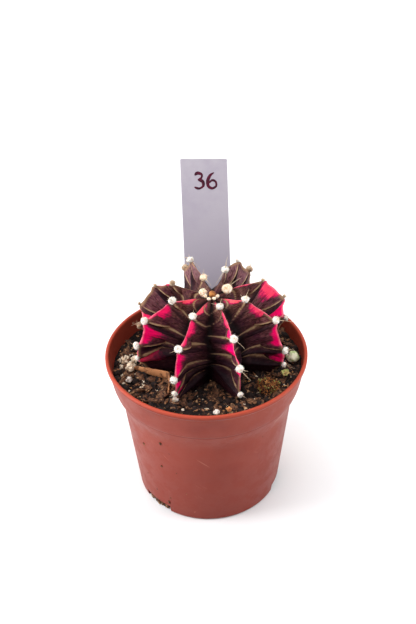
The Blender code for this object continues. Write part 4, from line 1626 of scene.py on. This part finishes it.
# %% [markdown]
# ## Bark strip, leaf chip and fibre tuft
# A curl of bark leans round the foot of the left rib. Its edges are torn, it is thin, and it hollows like
# the twig it peeled off. It is a grid swept along the same arc as the plain strip, given thickness,
# with ragged edges and a fine grain.

# %% Bark strip
BARK_FROM, BARK_TO, BARK_MIDDLE = -84.0, -38.0, -57.0
BARK_NEAR = 12.0 * MM
BARK_SWEEP, BARK_SPREAD, BARK_CURVE = 6.2 * MM, 24.0, 1.6
BARK_HEIGHT = 2.7 * MM
BARK_HOLLOW = 0.45 * MM
BARK_THICKNESS = 0.30 * MM
BARK_LIFT = 0.5 * MM
BARK_STEPS, BARK_ROWS = 60, 7


def bark_spine(share):
    """Azimuth and distance of the strip's middle at a share of its length."""
    azimuth = BARK_FROM + (BARK_TO - BARK_FROM) * share
    return azimuth, BARK_NEAR + BARK_SWEEP * abs((azimuth - BARK_MIDDLE) / BARK_SPREAD) ** BARK_CURVE


def eased_step(value, low, high):
    """0 below the low value, 1 above the high one, and an S-curve between them."""
    share = ramp(value, low, high - low)
    return share * share * (3 - 2 * share)


def bark_strip():
    """Two grids back to back, joined round their edges."""
    outer, inner = [], []
    for k in range(BARK_STEPS + 1):
        share = k / BARK_STEPS
        azimuth, distance = bark_spine(share)
        ground_z = soil_height(*toward(azimuth, distance).xy) + BARK_LIFT
        torn = 1 - 0.65 * eased_step(share, 0.62, 0.85)
        tall = BARK_HEIGHT * (0.4 + 0.6 * math.sin(math.pi * share) ** 0.6) * torn
        tall += 0.22 * MM * noise.noise((k * 0.31, 0, 0))
        for row in range(BARK_ROWS):
            up = row / (BARK_ROWS - 1)
            hollow = BARK_HOLLOW * math.sin(math.pi * up) + 0.10 * MM * noise.noise((k * 0.2, up * 3, 4))
            thick = BARK_THICKNESS * (1 - 0.6 * up)
            z = ground_z + tall * up + 0.12 * MM * noise.noise((k * 0.7, up * 2, 9))
            outer.append(toward(azimuth, distance + hollow + thick, z))
            inner.append(toward(azimuth, distance + hollow - thick, z))
    count = len(outer)
    faces = []
    for k in range(BARK_STEPS):
        for row in range(BARK_ROWS - 1):
            a, b = k * BARK_ROWS + row, (k + 1) * BARK_ROWS + row
            faces += [(a, b, b + 1, a + 1), (count + a, count + a + 1, count + b + 1, count + b)]
        for row in (0, BARK_ROWS - 1):
            a, b = k * BARK_ROWS + row, (k + 1) * BARK_ROWS + row
            faces.append((a, count + a, count + b, b))
    for k in (0, BARK_STEPS):
        for row in range(BARK_ROWS - 1):
            a = k * BARK_ROWS + row
            faces.append((a, a + 1, count + a + 1, count + a))
    return outer + inner, faces


bark_finish = Finish("peeled_bark", srgb(180, 122, 80), 0.85, 0.3)
bark_finish.blotches(srgb(104, 66, 42), 500.0, 0.45, 0.60)
bark_finish.blotches(srgb(198, 154, 112), 900.0, 0.56, 0.68)
bark_finish.grain(1500.0, 0.5, 0.12 * MM, 0.7)
bark_points, bark_faces = bark_strip()
bark_obj = add_piece("bark_curl", bark_points, bark_faces, bark_finish.done())
turn_out(bark_obj)
attach(bark_obj, "bark", "bark_strip")

# %% [markdown]
# The tuft beside the front right rib is a wad of coir: stiff orange-brown fibres over a clod of peat. Its
# clod is a dented ball, and the same scatter tree stands bent strands all over it.

# %% Fibre tuft
coir = crumb_finish("coir", srgb(158, 98, 48), srgb(92, 50, 26), srgb(206, 150, 88))
tuft_low, tuft_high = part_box("fibre_tuft")
tuft_middle, tuft_half = (tuft_low + tuft_high) / 2, (tuft_high - tuft_low) / 2
CLOD_SINK, CLOD_FILL = 0.5 * MM, 0.82
clod_ball = dented_ball((1, 1, 1), 0.6, 6.0, 4)
clod_seat = Matrix.Translation(tuft_middle - Vector((0, 0, CLOD_SINK)))
clod_ball.transform(clod_seat @ Matrix.Diagonal((*(tuft_half * CLOD_FILL), 1.0)))
clod = add_bmesh("clod", clod_ball, damp_peat)
set_open(clod)
strand = add_bmesh("strand", hair_mesh(1.0, 0.035, 0.7, 6, 4))
crumb = add_bmesh("crumb", dented_ball((1.0, 0.7, 0.5), 0.5, 2.0, 1))
# Name, grain, how many to a square metre, smallest, largest and lift in mm, and finish.
COIR_PARTS = (("coir_strands", strand, 7.0e6, 0.5, 1.5, -0.1, coir),
              ("coir_crumbs", crumb, 5.0e6, 0.12, 0.32, 0.1, coir),
              ("moss_crumbs", crumb, 7.0e5, 0.15, 0.36, 0.35, moss))
tuft_pieces = [clod]
for seed, (name, grain, density, smallest, largest, lift, finish) in enumerate(COIR_PARTS, 52):
    tuft_pieces.append(scattered(name, clod, Grain=grain, Density=density, Smallest=smallest * MM,
                                 Largest=largest * MM, Tip=1.2, Lift=lift * MM, Seed=seed, Finish=finish))
bpy.data.objects.remove(strand)
bpy.data.objects.remove(crumb)
tuft = merge_pieces("coir_tuft", tuft_pieces)
attach(tuft, "coir_fibre", "fibre_tuft")

# %% [markdown]
# The chip at the right wall is a scrap of green leaf gone tan in places. A single flake would look like a
# disc from some side, so three cupped flakes are folded over each other.

# %% Leaf chip
chip_low, chip_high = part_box("chip_green")
chip_middle, chip_half = (chip_low + chip_high) / 2, (chip_high - chip_low) / 2
chip_finish = Finish("leaf_scrap", srgb(150, 158, 88), 0.7, 0.35)
chip_finish.blotches(srgb(190, 160, 104), 700.0, 0.46, 0.58)
chip_finish.blotches(srgb(92, 98, 52), 1500.0, 0.54, 0.66)
chip_finish.grain(2600.0, 0.5, 0.1 * MM, 0.6)
chip_material = chip_finish.done()
FLAKE_CURL = 0.38


def leaf_flake(turn, tilt, offset, size, seed):
    """A cupped flake: a flattened dented ball bent up at its rim."""
    mesh = dented_ball((1.0, 0.8, 0.22), 0.5, seed, 4)
    for vert in mesh.verts:
        vert.co.z += FLAKE_CURL * vert.co.xy.length_squared
    matrix = Matrix.Translation(chip_middle + Vector(offset)) @ Matrix.Rotation(turn, 4, "Z")
    return mesh, matrix @ Matrix.Rotation(tilt, 4, "X") @ Matrix.Scale(size, 4)


flakes = [leaf_flake(0.4, 0.35, (0, 0, -0.15 * MM), chip_half.x * 0.86, 1.0),
          leaf_flake(2.2, -0.5, (-0.15 * MM, 0.2 * MM, 0.1 * MM), chip_half.x * 0.62, 5.0),
          leaf_flake(4.0, 0.8, (0.25 * MM, -0.2 * MM, 0.15 * MM), chip_half.x * 0.5, 9.0)]
attach(joined("leaf_scrap", flakes, chip_material), "leaf_litter", "chip_green")

# %% [markdown]
# ## Plant label
# The stick label is a strip of grey plastic cut from a sheet: square shoulders with small rounds, a
# pointed foot, and a faint bow from being pushed into the soil. A bevelled box could not bow, so rings
# round its section run from the top edge to the point. Growers number such labels by hand. The number here
# is any two digits, drawn as marker strokes: low ridges laid just on the face.

# %% Label sheet
LABEL_WIDTH = 13.4 * MM
LABEL_LENGTH = 80.0 * MM
LABEL_THICKNESS = 0.5 * MM
LABEL_POINT = 11.0 * MM
LABEL_CORNER = 0.4 * MM
LABEL_BOW = 0.25 * MM
LABEL_SLANT = 0.42 * MM
SLANT_REACH = 6 * MM
LABEL_EDGE = 0.12 * MM
LABEL_COLUMNS = 14
LABEL_SHARP_EDGE = math.radians(35)
LABEL_TOP = Vector((0.35 * MM, 39.9 * MM, POT_HEIGHT + 37.2 * MM))
LABEL_TURN = Euler((math.radians(-23.0), math.radians(-2.7), math.radians(-4.0))).to_matrix().to_4x4()
LABEL_MATRIX = Matrix.Translation(LABEL_TOP) @ LABEL_TURN


def label_half_width(depth):
    """Half the width at a depth below the top edge: rounded shoulders, then straight, then the point."""
    half = LABEL_WIDTH / 2
    if depth < LABEL_CORNER:
        return half - LABEL_CORNER + math.sqrt(max(0.0, LABEL_CORNER ** 2 - (LABEL_CORNER - depth) ** 2))
    if depth > LABEL_LENGTH - LABEL_POINT:
        share = (depth - LABEL_LENGTH + LABEL_POINT) / LABEL_POINT
        return half * (1 - 0.9 * share)
    return half


def label_bow(depth, across):
    """How far the sheet bows forward there."""
    down = math.sin(math.pi * min(depth / (LABEL_LENGTH * 0.6), 1.0))
    return -LABEL_BOW * down * (1 - (across / LABEL_WIDTH) ** 2)


def label_points():
    """Rings round the sheet's section, from the top edge down to the point."""
    depths = [LABEL_CORNER * (k / 8) ** 2 for k in range(9)]
    depths += [LABEL_CORNER + (LABEL_LENGTH - LABEL_POINT - LABEL_CORNER) * k / 60 for k in range(1, 61)]
    depths += [LABEL_LENGTH - LABEL_POINT * (1 - k / 8) for k in range(1, 9)]
    columns, edge = LABEL_COLUMNS, LABEL_EDGE
    points = []
    for depth in depths:
        half = label_half_width(depth)
        inset = min(edge, half * 0.3)
        for side in (-1, 1):
            thick = side * LABEL_THICKNESS / 2
            across = [(-half + inset) + 2 * (half - inset) * k / columns for k in range(columns + 1)]
            row = [Vector((x, thick + label_bow(depth, x), -depth)) for x in across]
            rim = Vector((half, side * (LABEL_THICKNESS / 2 - edge) + label_bow(depth, half), -depth))
            mirror = Vector((-rim.x, rim.y, rim.z))
            points += [mirror] + row + [rim] if side < 0 else [rim] + row[::-1] + [mirror]
    for point in points:
        # The top edge was cut by hand, a little higher on the left.
        point.z += LABEL_SLANT * (0.5 - point.x / LABEL_WIDTH) * max(0.0, 1 + point.z / SLANT_REACH)
    return points, len(depths), 2 * (columns + 3)


print("label:", round(LABEL_WIDTH / MM, 1), "x", round(LABEL_LENGTH / MM, 1), "mm")

# %% Label piece and finish
points, rows, columns = label_points()
faces = ring_faces(rows, columns, False, False)
faces += [tuple(range(columns)), tuple(range((rows - 1) * columns, rows * columns))[::-1]]
label = add_piece("stick_label", [LABEL_MATRIX @ point for point in points], faces)
turn_out(label, merge=True)
label.data.set_sharp_from_angle(angle=LABEL_SHARP_EDGE)

label_finish = Finish("grey_label", srgb(150, 143, 155), 0.55, 0.2)
low_shade = range_node(label_finish.tree, label_finish.object_axis("Z"), POT_HEIGHT, POT_HEIGHT + 37 * MM)
label_finish.layer(srgb(164, 158, 167), low_shade)
label_finish.blotches(srgb(154, 147, 159), 90.0, 0.40, 0.70)
label_finish.blotches(srgb(132, 122, 128), 1300.0, 0.66, 0.74)
label_finish.rough(label_finish.group(MOTTLE, "Mask", Scale=260.0, Low=0.4, High=0.6), 0.42, 0.60)
label_finish.grain(1500.0, 0.2, 0.02 * MM, 0.4)
label.data.materials.append(label_finish.done())
attach(label, "label_plastic", "plant_label")

# %% Marker number
INK_RADIUS = 0.46 * MM
INK_LIFT = 0.05 * MM
DIGIT_HEIGHT = 4.6 * MM
DIGIT_TOP = 3.6 * MM
DIGIT_CENTRES = (-1.6 * MM, 2.2 * MM)
PATH_STEPS = 8
STROKE_SIDES = 8
# Strokes in a box one high: x to the right, y up from the foot. They make a 3 and a 6.
STROKES = {
    "3": [[(-0.24, 0.84), (-0.05, 0.97), (0.20, 0.88), (0.17, 0.66), (-0.05, 0.55)],
          [(-0.05, 0.55), (0.24, 0.46), (0.28, 0.18), (0.02, 0.02), (-0.28, 0.12)]],
    "6": [[(0.16, 0.98), (-0.10, 0.80), (-0.26, 0.46), (-0.22, 0.14), (0.03, 0.01), (0.26, 0.16),
           (0.22, 0.42), (0.0, 0.50), (-0.22, 0.30)]],
}


def smooth_path(points):
    """A Catmull-Rom curve through the points."""
    ends = [points[0]] + list(points) + [points[-1]]
    path = []
    for a, b, c, d in zip(ends, ends[1:], ends[2:], ends[3:]):
        a, b, c, d = (Vector(point) for point in (a, b, c, d))
        for k in range(PATH_STEPS):
            t = k / PATH_STEPS
            path.append(0.5 * (2 * b + (c - a) * t + (2 * a - 5 * b + 4 * c - d) * t * t
                               + (3 * b - a - 3 * c + d) * t ** 3))
    return path + [Vector(points[-1])]


def ink_stroke(points, centre):
    """A marker stroke as a low ridge on the label's face, pinched to a round at both ends."""
    path = smooth_path(points)
    rings = []
    for number, here in enumerate(path):
        after, before = path[min(number + 1, len(path) - 1)], path[max(number - 1, 0)]
        along = (after - before).normalized()
        across = Vector((along.y, -along.x))
        share = number / (len(path) - 1)
        pinch = min(1.0, *(math.sqrt(max(0.02, 6 * room)) for room in (share, 1 - share)))
        radius = INK_RADIUS * (0.86 + 0.2 * math.sin(7 * share)) * pinch
        spot = centre + Vector((here.x * DIGIT_HEIGHT, 0, here.y * DIGIT_HEIGHT))
        ring = []
        for k in range(STROKE_SIDES):
            turn = math.tau * k / STROKE_SIDES
            flat = across * radius * math.cos(turn)
            rise = INK_LIFT * math.sin(turn)
            bow = label_bow(-(spot.z + flat.y), spot.x + flat.x)
            on_face = Vector((flat.x, bow - rise - LABEL_THICKNESS / 2, flat.y))
            ring.append(LABEL_MATRIX @ (spot + on_face))
        rings.append(ring)
    return tube(rings), Matrix.Identity(4)


ink_finish = Finish("maroon_ink", srgb(74, 8, 36), 0.6, 0.2)
ink_finish.blotches(srgb(46, 6, 26), 900.0, 0.45, 0.6)
ink_finish.blotches(srgb(104, 24, 56), 1800.0, 0.6, 0.72)
strokes = []
for digit, x in zip(("3", "6"), DIGIT_CENTRES):
    centre = Vector((x, 0, -DIGIT_TOP - DIGIT_HEIGHT))
    strokes += [ink_stroke(points, centre) for points in STROKES[digit]]
attach(joined("marker_number", strokes, ink_finish.done()), "label_plastic")
